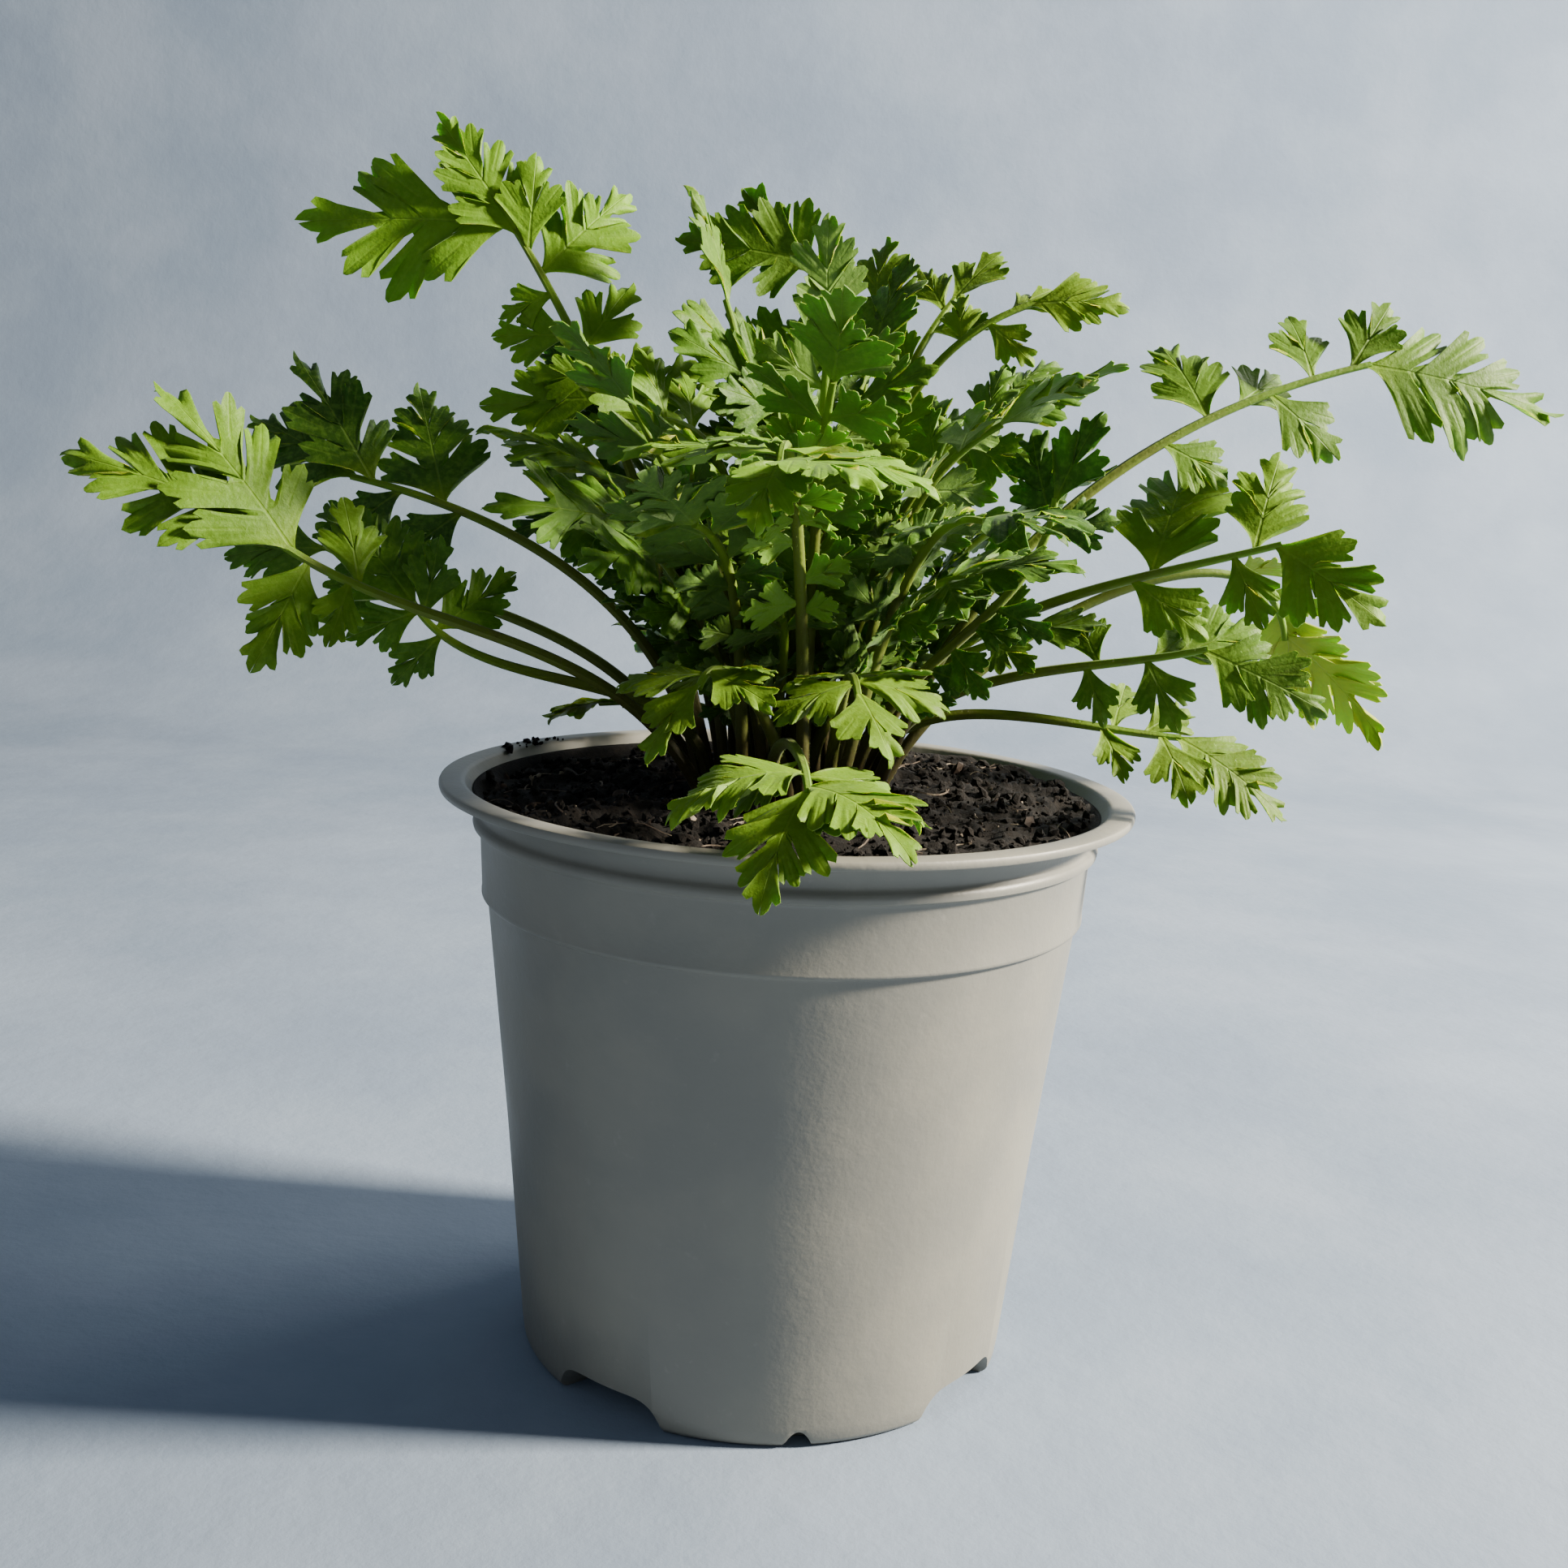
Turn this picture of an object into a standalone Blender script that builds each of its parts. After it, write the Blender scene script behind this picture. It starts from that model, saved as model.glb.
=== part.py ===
"""Potted feverfew: a 13 cm nursery pot, its compost, and one solid for each cut leaf.

All sizes below are in millimetres and degrees. MM turns them into the scene's metres.
The origin is on the pot's axis, on the surface that it stands on. X runs to the right,
Y to the back and Z up, and an azimuth is counted from X towards Y.
"""

import itertools
import math

import bmesh
import bpy
import numpy as np
from mathutils.bvhtree import BVHTree

MM = 0.001

# Pot
POT_HEIGHT = 110.0
RIM_RADIUS = 65.0
RIM_INNER_RADIUS = 60.2
LIP_HEIGHT = 2.2
NECK_RADIUS = 61.0
COLLAR_RADIUS = 57.5
LEDGE_HEIGHT = 101.8
STEP_HEIGHT = 88.4
STEP_DEPTH = 0.8
CONE_TOP_RADIUS = 55.8
BASE_RADIUS = 47.0
WALL = 1.15
FLOOR = 2.0
POT_SIDES = 36
POCKET_AZIMUTHS = (54.5, 144.5, 234.5, 324.5)
POCKET_WIDTH = 30.0
POCKET_HEIGHT = 6.0
POCKET_DEPTH = 8.0
GROOVE_AZIMUTHS = (9.5, 99.5, 189.5, 279.5)
GROOVE_WIDTH = 6.0
GROOVE_HEIGHT = 3.4
GROOVE_DEPTH = 4.0
DRAIN_RADIUS = 3.5
DRAIN_REACH = 30.0
DRAIN_SIDES = 8

# Compost
FIT_GAP = 0.35
SOIL_HEIGHT = 107.5
SOIL_SIDES = 24
SOIL_RINGS = (0.0, 10.0, 20.0, 32.0, 46.0)
SOIL_MOUND = 1.2
SOIL_LUMP = 0.7

# Leaf stalks
STALK_SIDES = 3
STALK_RADIUS = 1.4
STALK_END_RADIUS = 1.1
STALK_STEPS = (0.0, 0.13, 0.32, 0.54, 0.77, 1.0)
STALK_BURIED = 8.0
STALK_UPRIGHT = 2.4
STALK_CLEARANCE = 0.4
HOLE_CLEARANCE = 0.6
SEAT_SPACING = 2.35
SEAT_SPREAD = 0.18
SPARE_SEATS = 14
SEATS_TRIED = 8
GOLDEN_ANGLE = 137.508
BEND_START = 0.40
BEND_END = 0.35
SWINGS = (0, 2, -2, 4, -4, 6, -6, 9, -9, 12, -12, 16, -16)

# Leaflets
BLADE = 0.64
BASE_WIDTH = 0.42
END_SUNK = 1.0
SMALL_LEAFLET = 18.5
LARGE_LEAFLET = 24.5
LARGEST_LEAFLET = 30.0
RIM_CURL = 0.006
LEAF_CLEARANCE = 0.35
# Outline of one half of a leaflet, as shares of its length: along the midrib and to the side.
# A leaflet widens like a wedge to its first lobe, and each lobe's tip is followed by a notch.
SMALL_LOBES = ((0.34, 0.14), (0.70, 0.34), (0.77, 0.15))
THREE_LOBES = ((0.46, 0.34), (0.51, 0.15), (0.73, 0.29), (0.79, 0.12))
FIVE_LOBES = ((0.40, 0.33), (0.45, 0.13), (0.63, 0.31), (0.68, 0.12), (0.80, 0.20), (0.85, 0.09))
SEVEN_LOBES = (
    (0.29, 0.26), (0.33, 0.10), (0.52, 0.30), (0.56, 0.11), (0.70, 0.25), (0.74, 0.09),
    (0.83, 0.16), (0.87, 0.07))
# turn in the leaf's plane, lift out of it, and share of the length that a crowded leaflet takes
ESCAPES = (
    (0, 0, 1.0), (10, 0, 1.0), (-10, 0, 1.0), (0, 14, 1.0), (0, -14, 1.0), (10, 14, 1.0),
    (-10, 14, 1.0), (10, -14, 1.0), (-10, -14, 1.0), (22, 0, 0.95), (-22, 0, 0.95),
    (0, 30, 0.95), (0, -30, 0.95), (22, 25, 0.9), (-22, 25, 0.9), (22, -25, 0.9),
    (-22, -25, 0.9), (0, 48, 0.85), (0, -48, 0.85), (38, 0, 0.8), (-38, 0, 0.8),
    (30, 45, 0.75), (-30, 45, 0.75), (30, -45, 0.75), (-30, -45, 0.75), (0, 0, 0.65),
    (0, 40, 0.6), (0, -40, 0.6), (35, 60, 0.6), (-35, -60, 0.6), (0, 0, 0.45),
)
SHORTEST_LEAFLET = 7.0

# Each leaf: azimuth and reach of the place where its end leaflet starts, its height above the
# compost, the stalk's slope at the foot and at the end, the roll of the leaf about its rib, and
# its leaflets as (share of the stalk, length, angle from the rib).
LEAVES = {
    "near_left": (200, 99, 49.5, 60, 42, -65, (
        (1.0, 32, 8), (0.89, 36, -22), (0.86, 22, 92), (0.78, 13, 95), (0.76, 17, -60))),
    "upright_left": (192, 70, 34.5, 84, 60, -75, (
        (1.0, 25, -16), (0.97, 14, 60), (0.95, 15, -62), (0.90, 19, -105), (0.88, 13, 85))),
    "long_left": (176, 85, 55.5, 78, 10, -60, (
        (1.0, 28, -19), (0.95, 30, -40), (0.89, 15, 58), (0.80, 28, -56), (0.76, 16, 62))),
    "low_left": (170, 94, 41.5, 60, 22, -50, (
        (1.0, 22, 20), (0.91, 18, -40), (0.88, 14, 75), (0.77, 15, -60))),
    "tall_left": (172, 57, 103.5, 76, 55, -70, (
        (1.0, 40, 60), (0.97, 26, 6), (0.94, 18, -34), (0.90, 27, -72), (0.86, 11, 85),
        (0.78, 16, 62), (0.75, 18, -60), (0.66, 23, 70), (0.62, 22, -76))),
    "mid_left": (215, 36, 50.5, 78, 40, -50, (
        (1.0, 31, 36), (0.95, 14, -45), (0.88, 26, 58), (0.80, 22, -85))),
    "pale_left": (200, 30, 68.5, 82, -5, -60, (
        (1.0, 17, -14), (0.95, 14, -50), (0.90, 13, 45), (0.86, 15, -74), (0.78, 14, 60))),
    "dark_left": (165, 36, 64.5, 80, 45, -60, (
        (1.0, 27, 0), (0.94, 21, -52), (0.86, 17, 66), (0.78, 18, -66), (0.72, 16, 74))),
    "blue_left": (187, 37, 58.5, 80, 5, -20, (
        (1.0, 25, 0), (0.93, 17, -55), (0.90, 17, 50), (0.78, 15, -60))),
    "facing_left": (195, 6, 74.5, 87, 80, -70, (
        (1.0, 24, 55), (0.96, 15, 70), (0.93, 12, -35), (0.86, 16, 80))),
    "centre_tall": (95, 4, 76.5, 88, 86, 0, (
        (1.0, 20, 0), (0.93, 14, 48), (0.91, 14, -50), (0.82, 14, 60), (0.80, 13, -60))),
    "centre_young": (265, 15, 62.5, 86, 78, 0, (
        (1.0, 14, 0), (0.92, 10, 55), (0.90, 10, -55))),
    "top_centre": (92, 15, 100.5, 87, 88, 0, (
        (1.0, 26, 82), (0.97, 21, 40), (0.93, 12, -35), (0.84, 26, -72), (0.80, 22, 76))),
    "back_top": (70, 37, 94.5, 85, 80, 0, (
        (1.0, 17, 5), (0.94, 12, -42), (0.90, 14, 50), (0.80, 14, -55))),
    "back_right": (47, 41, 95.5, 84, 42, 15, (
        (1.0, 16, -10), (0.96, 13, 50), (0.90, 13, -60), (0.80, 15, 60))),
    "back_right_high": (25, 47, 94.5, 82, 20, 35, (
        (1.0, 19, -35), (0.95, 12, 20), (0.90, 13, -75), (0.84, 12, 60))),
    "right_cluster": (0, 36, 72.5, 82, 30, 50, (
        (1.0, 17, -15), (0.94, 15, 42), (0.88, 15, -65), (0.80, 15, 65))),
    "high_right": (4, 104, 85.5, 74, 15, 65, (
        (1.0, 39, -30), (0.97, 17, 38), (0.91, 16, 80), (0.84, 18, -65), (0.79, 17, 20),
        (0.74, 23, 82), (0.66, 15, -60))),
    "low_right": (350, 86, 52.5, 80, 18, 60, (
        (1.0, 24, -50), (0.95, 23, 68), (0.91, 15, -80), (0.76, 37, 68), (0.72, 18, -62))),
    "dark_right": (340, 47, 58.5, 85, 88, 75, (
        (1.0, 18, -4), (0.94, 19, 42), (0.91, 13, -58), (0.82, 14, 66))),
    "mid_right": (348, 75, 33.5, 82, 17, 60, (
        (1.0, 25, -34), (0.93, 17, 20), (0.87, 22, 40), (0.85, 15, -74), (0.74, 13, 105),
        (0.71, 12, -80))),
    "flat_right": (352, 72, 16.5, 80, 0, 40, (
        (1.0, 25, -26), (0.94, 17, -68), (0.90, 13, 50), (0.82, 16, 84), (0.79, 12, -62))),
    "back_hanging": (12, 99, 32.5, 66, -80, -40, (
        (1.0, 30, -16), (0.92, 30, 18), (0.86, 13, -52), (0.76, 14, -75))),
    "right_front": (316, 40, 44.5, 76, 5, 30, (
        (1.0, 22, 10), (0.93, 17, 55), (0.91, 17, -52), (0.78, 15, 62), (0.76, 15, -62))),
    "front": (266, 55, 61.5, 84, -46, 0, (
        (1.0, 19, -4), (0.98, 24, 46), (0.95, 28, -94), (0.93, 26, 90), (0.88, 15, -48))),
    "front_left": (247, 40, 24.5, 74, -55, 0, (
        (1.0, 18, -6), (0.90, 17, -72), (0.88, 16, 74), (0.74, 14, -76), (0.72, 13, 76))),
    "front_right": (286, 40, 24.5, 74, -55, 0, (
        (1.0, 18, 8), (0.90, 16, -70), (0.88, 17, 72), (0.74, 13, -76), (0.72, 14, 74))),
    "over_rim": (273, 63, 12.5, 66, -18, 0, (
        (1.0, 26, -22), (0.96, 26, 34), (0.89, 22, 82), (0.87, 25, -74), (0.76, 15, -66))),
    "back_left_low": (142, 50, 11.5, 74, -10, 0, (
        (1.0, 17, 0), (0.90, 14, 62), (0.88, 14, -62))),
}

# Leaves that fill the crown between the ones above, in rings: how many, first azimuth, step in
# azimuth, reach, height, slope at the foot, slope at the end, length of the end leaflet, and
# number of leaflets
RINGS = {
    "inner": (3, 40, 120, 17, 86, 88, 70, 21, 5),
    "upper": (6, 215, 60, 36, 72, 84, 40, 23, 5),
    "middle": (5, 245, 68, 44, 52, 80, 15, 23, 5),
    "lower": (2, 62, 60, 56, 22, 74, -5, 21, 5),
    "short": (6, 20, 60, 24, 34, 82, 30, 16, 3),
    "young": (3, 350, 62, 40, 34, 74, 10, 17, 3),
}
RING_LEAFLETS = (
    (1.0, 1.0, 0), (0.89, 0.80, 54), (0.87, 0.80, -54), (0.74, 0.68, 62), (0.72, 0.68, -62))


def clear_scene():
    for obj in list(bpy.data.objects):
        bpy.data.objects.remove(obj, do_unlink=True)


def material(name, colour, roughness):
    found = bpy.data.materials.new(name)
    found.use_nodes = True
    shader = found.node_tree.nodes["Principled BSDF"]
    shader.inputs["Base Color"].default_value = (*colour, 1.0)
    shader.inputs["Roughness"].default_value = roughness
    shader.inputs["Metallic"].default_value = 0.0
    return found


def mesh_object(name, points, faces, finish=None):
    """A new object from points in millimetres."""
    mesh = bpy.data.meshes.new(name)
    mesh.from_pydata((np.asarray(points) * MM).tolist(), [], faces)
    mesh.validate()
    obj = bpy.data.objects.new(name, mesh)
    bpy.context.scene.collection.objects.link(obj)
    if finish:
        mesh.materials.append(finish)
    return obj


def unit(vector):
    return vector / np.linalg.norm(vector)


def heading(azimuth):
    turn = math.radians(azimuth)
    return np.array((math.cos(turn), math.sin(turn), 0.0))


# Turned shapes


def lathe(profile, sides):
    """Points and faces of a closed (radius, height) profile turned about Z, its outer side first."""
    points, faces = [], []
    turns = [2 * math.pi * k / sides for k in range(sides)]
    rings = []
    for radius, height in profile:
        start = len(points)
        if radius == 0:
            points.append((0.0, 0.0, height))
            rings.append([start] * sides)
        else:
            points += [(radius * math.cos(a), radius * math.sin(a), height) for a in turns]
            rings.append(list(range(start, start + sides)))
    for upper, lower in zip(rings, rings[1:] + rings[:1]):
        for k in range(sides):
            corners = (upper[k], lower[k], lower[(k + 1) % sides], upper[(k + 1) % sides])
            face = list(dict.fromkeys(corners))
            if len(face) > 2:
                faces.append(face)
    return points, faces


def pot_profile():
    inner_base = BASE_RADIUS + 0.1 * POCKET_HEIGHT - WALL
    corner = BASE_RADIUS - POCKET_DEPTH - 3.0
    return (
        (RIM_RADIUS, POT_HEIGHT),
        (RIM_RADIUS, POT_HEIGHT - LIP_HEIGHT),
        (NECK_RADIUS, POT_HEIGHT - 3.4),
        (COLLAR_RADIUS + 0.4, LEDGE_HEIGHT + 0.8),
        (COLLAR_RADIUS, LEDGE_HEIGHT),
        (CONE_TOP_RADIUS + STEP_DEPTH + 0.2, STEP_HEIGHT + 0.4),
        (CONE_TOP_RADIUS, STEP_HEIGHT - 0.4),
        (BASE_RADIUS + 0.2, 1.6),
        (BASE_RADIUS - 1.4, 0.0),
        (0.0, 0.0),
        (0.0, FLOOR),
        (corner, FLOOR),
        (inner_base, POCKET_HEIGHT + 2.6),
        (CONE_TOP_RADIUS - WALL, STEP_HEIGHT - 0.4),
        (COLLAR_RADIUS - WALL, LEDGE_HEIGHT),
        (NECK_RADIUS - WALL, POT_HEIGHT - 3.4),
        (RIM_INNER_RADIUS, POT_HEIGHT),
    )


def wedge(name, azimuth, width, height, depth, steps):
    """A cutter for the pot's bottom corner: a wedge that is highest at the outer wall."""
    section = (
        (BASE_RADIUS + 4.0, -1.0),
        (BASE_RADIUS + 4.0, height),
        (BASE_RADIUS - 1.0, height),
        (BASE_RADIUS - depth, 0.4),
        (BASE_RADIUS - depth, -1.0),
    )
    points, faces = [], []
    for k in range(steps + 1):
        share = k / steps
        turn = math.radians(azimuth - width / 2 + width * share)
        crown = 1.0 - 0.28 * (2 * share - 1) ** 4
        for radius, level in section:
            level = level * crown if level > 0 else level
            points.append((radius * math.cos(turn), radius * math.sin(turn), level))
    size = len(section)
    for k in range(steps):
        for i in range(size):
            j = (i + 1) % size
            faces.append((k * size + i, k * size + j, (k + 1) * size + j, (k + 1) * size + i))
    faces.append(tuple(reversed(range(size))))
    faces.append(tuple(range(steps * size, (steps + 1) * size)))
    return outward(mesh_object(name, points, faces))


def drain(name, azimuth):
    """A cutter for a round hole in the pot's floor."""
    centre = DRAIN_REACH * heading(azimuth)
    sides = DRAIN_SIDES
    ring = [centre + DRAIN_RADIUS * heading(360 * k / sides) for k in range(sides)]
    points = [(*p[:2], -1.0) for p in ring] + [(*p[:2], FLOOR + 1.0) for p in ring]
    faces = [(k, (k + 1) % sides, sides + (k + 1) % sides, sides + k) for k in range(sides)]
    faces += [tuple(reversed(range(sides))), tuple(range(sides, 2 * sides))]
    return outward(mesh_object(name, points, faces))


def outward(obj):
    """Turns all faces of a closed mesh to point out."""
    shape = bmesh.new()
    shape.from_mesh(obj.data)
    bmesh.ops.recalc_face_normals(shape, faces=shape.faces)
    shape.to_mesh(obj.data)
    shape.free()
    return obj


def combine(obj, others, operation, solver="EXACT"):
    """Applies one Boolean of the object with a collection of others, and removes them."""
    group = bpy.data.collections.new(obj.name + "_group")
    for other in others:
        group.objects.link(other)
    step = obj.modifiers.new("Combine", "BOOLEAN")
    step.operation = operation
    step.operand_type = "COLLECTION"
    step.collection = group
    step.solver = solver
    bpy.context.view_layer.objects.active = obj
    bpy.ops.object.modifier_apply(modifier=step.name)
    for other in others:
        bpy.data.objects.remove(other, do_unlink=True)
    bpy.data.collections.remove(group)
    return obj


def build_pot():
    finish = material("pot_grey", (0.09, 0.1, 0.1), 0.5)
    pot = outward(mesh_object("pot", *lathe(pot_profile(), POT_SIDES), finish))
    cutters = [
        wedge(f"pocket_{k}", azimuth, POCKET_WIDTH, POCKET_HEIGHT, POCKET_DEPTH, 4)
        for k, azimuth in enumerate(POCKET_AZIMUTHS)
    ]
    cutters += [
        wedge(f"groove_{k}", azimuth, GROOVE_WIDTH, GROOVE_HEIGHT, GROOVE_DEPTH, 2)
        for k, azimuth in enumerate(GROOVE_AZIMUTHS)
    ]
    cutters += [drain(f"drain_{k}", azimuth) for k, azimuth in enumerate(GROOVE_AZIMUTHS)]
    combine(pot, cutters, "DIFFERENCE")
    pot.data.shade_smooth()
    pot.data.set_sharp_from_angle(angle=math.radians(30))
    return pot


def soil_level(x, y):
    """The compost's surface: a low mound with lumps, highest at the back right."""
    reach = math.hypot(x, y)
    mound = SOIL_MOUND * math.cos(math.pi * min(reach / 56.0, 1.0))
    lumps = math.sin(0.31 * x + 1.0) * math.cos(0.27 * y) + 0.6 * math.sin(0.17 * x - 0.36 * y)
    back = 1.6 * max(0.0, (x + y) / 80.0) ** 2
    return SOIL_HEIGHT + mound + SOIL_LUMP * lumps * min(reach / 14.0, 1.0) + back


def soil_wall(height):
    """The compost's outer radius, clear of the flats of the pot's inner wall."""
    inner = pot_profile()[11:]
    radius = np.interp(height, [p[1] for p in inner], [p[0] for p in inner])
    return radius * math.cos(math.pi / POT_SIDES) - FIT_GAP


def build_soil(holes):
    finish = material("compost", (0.02, 0.014, 0.009), 0.95)
    base = (0.0, FLOOR + 0.3), (BASE_RADIUS - POCKET_DEPTH - 3.6, FLOOR + 0.3)
    levels = (POCKET_HEIGHT + 3.0, STEP_HEIGHT - 0.4, LEDGE_HEIGHT, SOIL_HEIGHT - 1.2)
    side = [(soil_wall(level), level) for level in levels]
    top = [(ring, SOIL_HEIGHT) for ring in reversed(SOIL_RINGS)]
    profile = list(reversed(base + tuple(side))) + [(0.0, FLOOR + 0.3)]
    profile = list(reversed(top)) + profile[:-1]
    points, faces = lathe(profile, SOIL_SIDES)
    points = [
        (x, y, soil_level(x, y)) if z == SOIL_HEIGHT else (x, y, z) for x, y, z in points
    ]
    soil = outward(mesh_object("soil", points, faces, finish))
    combine(soil, holes, "DIFFERENCE")
    return soil


# Leaf stalks


def seats(count):
    """Feet of the leaf stalks, spread over the crown as a growing shoot spaces them."""
    return [
        SEAT_SPACING * math.sqrt(k + 0.5) * heading(k * GOLDEN_ANGLE) for k in range(count)
    ]


def stalk_route(foot, leaf, swing):
    """A stalk's centre line as points, from the compost to the start of its end leaflet."""
    azimuth, reach, height, foot_slope, end_slope = leaf[:5]
    out = heading(azimuth)
    side = np.array((-out[1], out[0], 0.0))
    up = np.array((0.0, 0.0, 1.0))
    start = foot + up * (SOIL_HEIGHT + STALK_UPRIGHT)
    end = reach * out + up * (SOIL_HEIGHT + height)
    span = np.linalg.norm(end - start)
    rise, nod = math.radians(foot_slope), math.radians(end_slope)
    first = start + BEND_START * span * (math.cos(rise) * out + math.sin(rise) * up)
    last = end - BEND_END * span * (math.cos(nod) * out + math.sin(nod) * up)
    route = []
    for t in STALK_STEPS:
        point = (
            (1 - t) ** 3 * start
            + 3 * (1 - t) ** 2 * t * first
            + 3 * (1 - t) * t * t * last
            + t ** 3 * end
        )
        route.append(point + swing * math.sin(math.pi * t) * side)
    return np.array(route)


def on_route(route, share):
    """Point and direction at a share of the route's steps."""
    place = np.interp(share, STALK_STEPS, range(len(STALK_STEPS)))
    step = min(int(place), len(route) - 2)
    point = route[step] + (place - step) * (route[step + 1] - route[step])
    before = unit(route[step] - route[step - 1]) if step else unit(route[1] - route[0])
    here = unit(route[step + 1] - route[step])
    after = unit(route[step + 2] - route[step + 1]) if step + 2 < len(route) else here
    blend = place - step
    if blend < 0.5:
        return point, unit((0.5 - blend) * before + (0.5 + blend) * here)
    return point, unit((1.5 - blend) * here + (blend - 0.5) * after)


def stalk_radius(share):
    return STALK_RADIUS + share * (STALK_END_RADIUS - STALK_RADIUS)


def dense(route):
    """Points a millimetre or less apart along the route, with the stalk's radius at each."""
    shares = np.linspace(0, 1, 140)
    places = np.interp(shares, STALK_STEPS, range(len(STALK_STEPS)))
    steps = np.minimum(places.astype(int), len(route) - 2)
    part = (places - steps)[:, None]
    return route[steps] * (1 - part) + route[steps + 1] * part, stalk_radius(shares)


def choose_routes(leaves):
    """Gives each leaf a foot and a small swing that keep its stalk clear of the others."""
    free = seats(len(leaves) + SPARE_SEATS)
    routes, laid = {}, []
    outermost = np.linalg.norm(free[-1])
    for name in sorted(leaves, key=lambda name: leaves[name][1]):
        azimuth, reach = leaves[name][:2]
        wanted = min(SEAT_SPREAD * reach, outermost) * heading(azimuth)
        near = sorted(range(len(free)), key=lambda k: np.linalg.norm(free[k] - wanted))
        best = None
        for swing, seat in itertools.product(SWINGS, near[:SEATS_TRIED]):
            route = stalk_route(free[seat], leaves[name], swing)
            points, radii = dense(route)
            margin = STALK_CLEARANCE
            for other, others in laid:
                apart = np.linalg.norm(points[:, None] - other[None], axis=2)
                margin = min(margin, (apart - radii[:, None] - others[None]).min())
            if best is None or margin > best[0]:
                best = (margin, route, points, radii, seat)
            if margin >= STALK_CLEARANCE:
                break
        routes[name] = best[1]
        laid.append(best[2:4])
        free.pop(best[4])
    return routes


def tube(route, radii, azimuth, roll):
    """Points and faces of a closed tube along the route."""
    points, faces = [], []
    for k, centre in enumerate(route):
        ahead = unit(route[min(k + 1, len(route) - 1)] - route[max(k - 1, 0)])
        left, face = leaf_frame(ahead, azimuth, roll)
        for n in range(STALK_SIDES):
            turn = 2 * math.pi * n / STALK_SIDES
            points.append(centre + radii[k] * (math.cos(turn) * left + math.sin(turn) * face))
    for k in range(len(route) - 1):
        for n in range(STALK_SIDES):
            m = (n + 1) % STALK_SIDES
            low, high = k * STALK_SIDES, (k + 1) * STALK_SIDES
            faces.append((low + n, low + m, high + m, high + n))
    faces.append(tuple(reversed(range(STALK_SIDES))))
    faces.append(tuple(range(len(points) - STALK_SIDES, len(points))))
    return np.array(points), faces


def buried(route, depth):
    """The route with its foot carried straight down into the compost."""
    foot = np.array((*route[0][:2], SOIL_HEIGHT - depth))
    return np.vstack((foot, route))


def buried_radii():
    return [stalk_radius(share) for share in (0.0,) + STALK_STEPS]


def build_hole(name, route, azimuth, roll):
    """A cutter for a stalk's plain hole in the compost."""
    foot = np.array((*route[0][:2], SOIL_HEIGHT - STALK_BURIED - FIT_GAP))
    top = route[0] + np.array((0.0, 0.0, 1.0))
    radii = [STALK_RADIUS + HOLE_CLEARANCE] * 2
    return outward(mesh_object(
        "hole_" + name, *tube(np.array((foot, top)), radii, azimuth, roll)))


# Leaflets


def leaf_frame(along, azimuth, roll):
    """Directions at a place on the rib: along it, to the leaf's left, and out of its face."""
    level = np.array((-math.sin(math.radians(azimuth)), math.cos(math.radians(azimuth)), 0.0))
    level = unit(level - along * np.dot(level, along))
    upright = np.cross(along, level)
    turn = math.radians(roll)
    left = math.cos(turn) * level + math.sin(turn) * upright
    return left, np.cross(along, left)


def leaflet(base, along, left, face, length, angle, lift, droop, lobes, thickness=BLADE):
    """Points and faces of one thin cut blade, arched along its midrib."""
    turn, raised = math.radians(angle), math.radians(lift)
    flat = math.cos(turn) * along + math.sin(turn) * left
    side = math.cos(turn) * left - math.sin(turn) * along
    ahead = math.cos(raised) * flat + math.sin(raised) * face
    normal = math.cos(raised) * face - math.sin(raised) * flat
    arch = math.radians(droop)
    points = []
    stations = ((0.0, (BASE_WIDTH / length,) * 2),) + lobes
    for share, widths in stations:
        bent = arch * share
        centre = base + length / arch * (
            math.sin(bent) * ahead - (1 - math.cos(bent)) * normal)
        skin = math.cos(bent) * normal + math.sin(bent) * ahead
        for sign, width in zip((1, -1), widths):
            reach = width * length
            place = centre + sign * reach * side - RIM_CURL * reach * reach * skin
            points += [place + skin * thickness / 2, place - skin * thickness / 2]
    tip = base + length / arch * (math.sin(arch) * ahead - (1 - math.cos(arch)) * normal)
    skin = math.cos(arch) * normal + math.sin(arch) * ahead
    points += [tip + skin * thickness / 2, tip - skin * thickness / 2]
    faces = [(0, 1, 3), (0, 3, 2)]
    last = len(stations) - 1
    for k in range(last):
        a, b = 4 * k, 4 * (k + 1)
        faces += [(a, a + 2, b + 2), (a, b + 2, b), (a + 1, b + 3, a + 3), (a + 1, b + 1, b + 3)]
        faces += [(a, b, b + 1), (a, b + 1, a + 1), (a + 2, a + 3, b + 3), (a + 2, b + 3, b + 2)]
    a, end = 4 * last, len(points) - 2
    faces += [(a, a + 2, end), (a + 1, end + 1, a + 3)]
    faces += [(a, end, end + 1), (a, end + 1, a + 1), (a + 2, a + 3, end + 1), (a + 2, end + 1, end)]
    return np.array(points), faces


def outer_part(points, faces):
    """The blade without its first stretch, which runs inside the stalk."""
    return points[4:], [tuple(c - 4 for c in face) for face in faces if min(face) > 3]


class Obstacle:
    """A placed solid that others keep clear of, with a thicker copy that holds its clearance."""

    def __init__(self, solid, thick):
        self.tree = BVHTree.FromPolygons(solid[0].tolist(), solid[1])
        self.thick = BVHTree.FromPolygons(thick[0].tolist(), thick[1])
        self.low, self.high = thick[0].min(axis=0), thick[0].max(axis=0)

    def near(self, other):
        if (self.low > other.high).any() or (other.low > self.high).any():
            return False
        return bool(self.tree.overlap(other.thick) or self.thick.overlap(other.tree))


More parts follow.
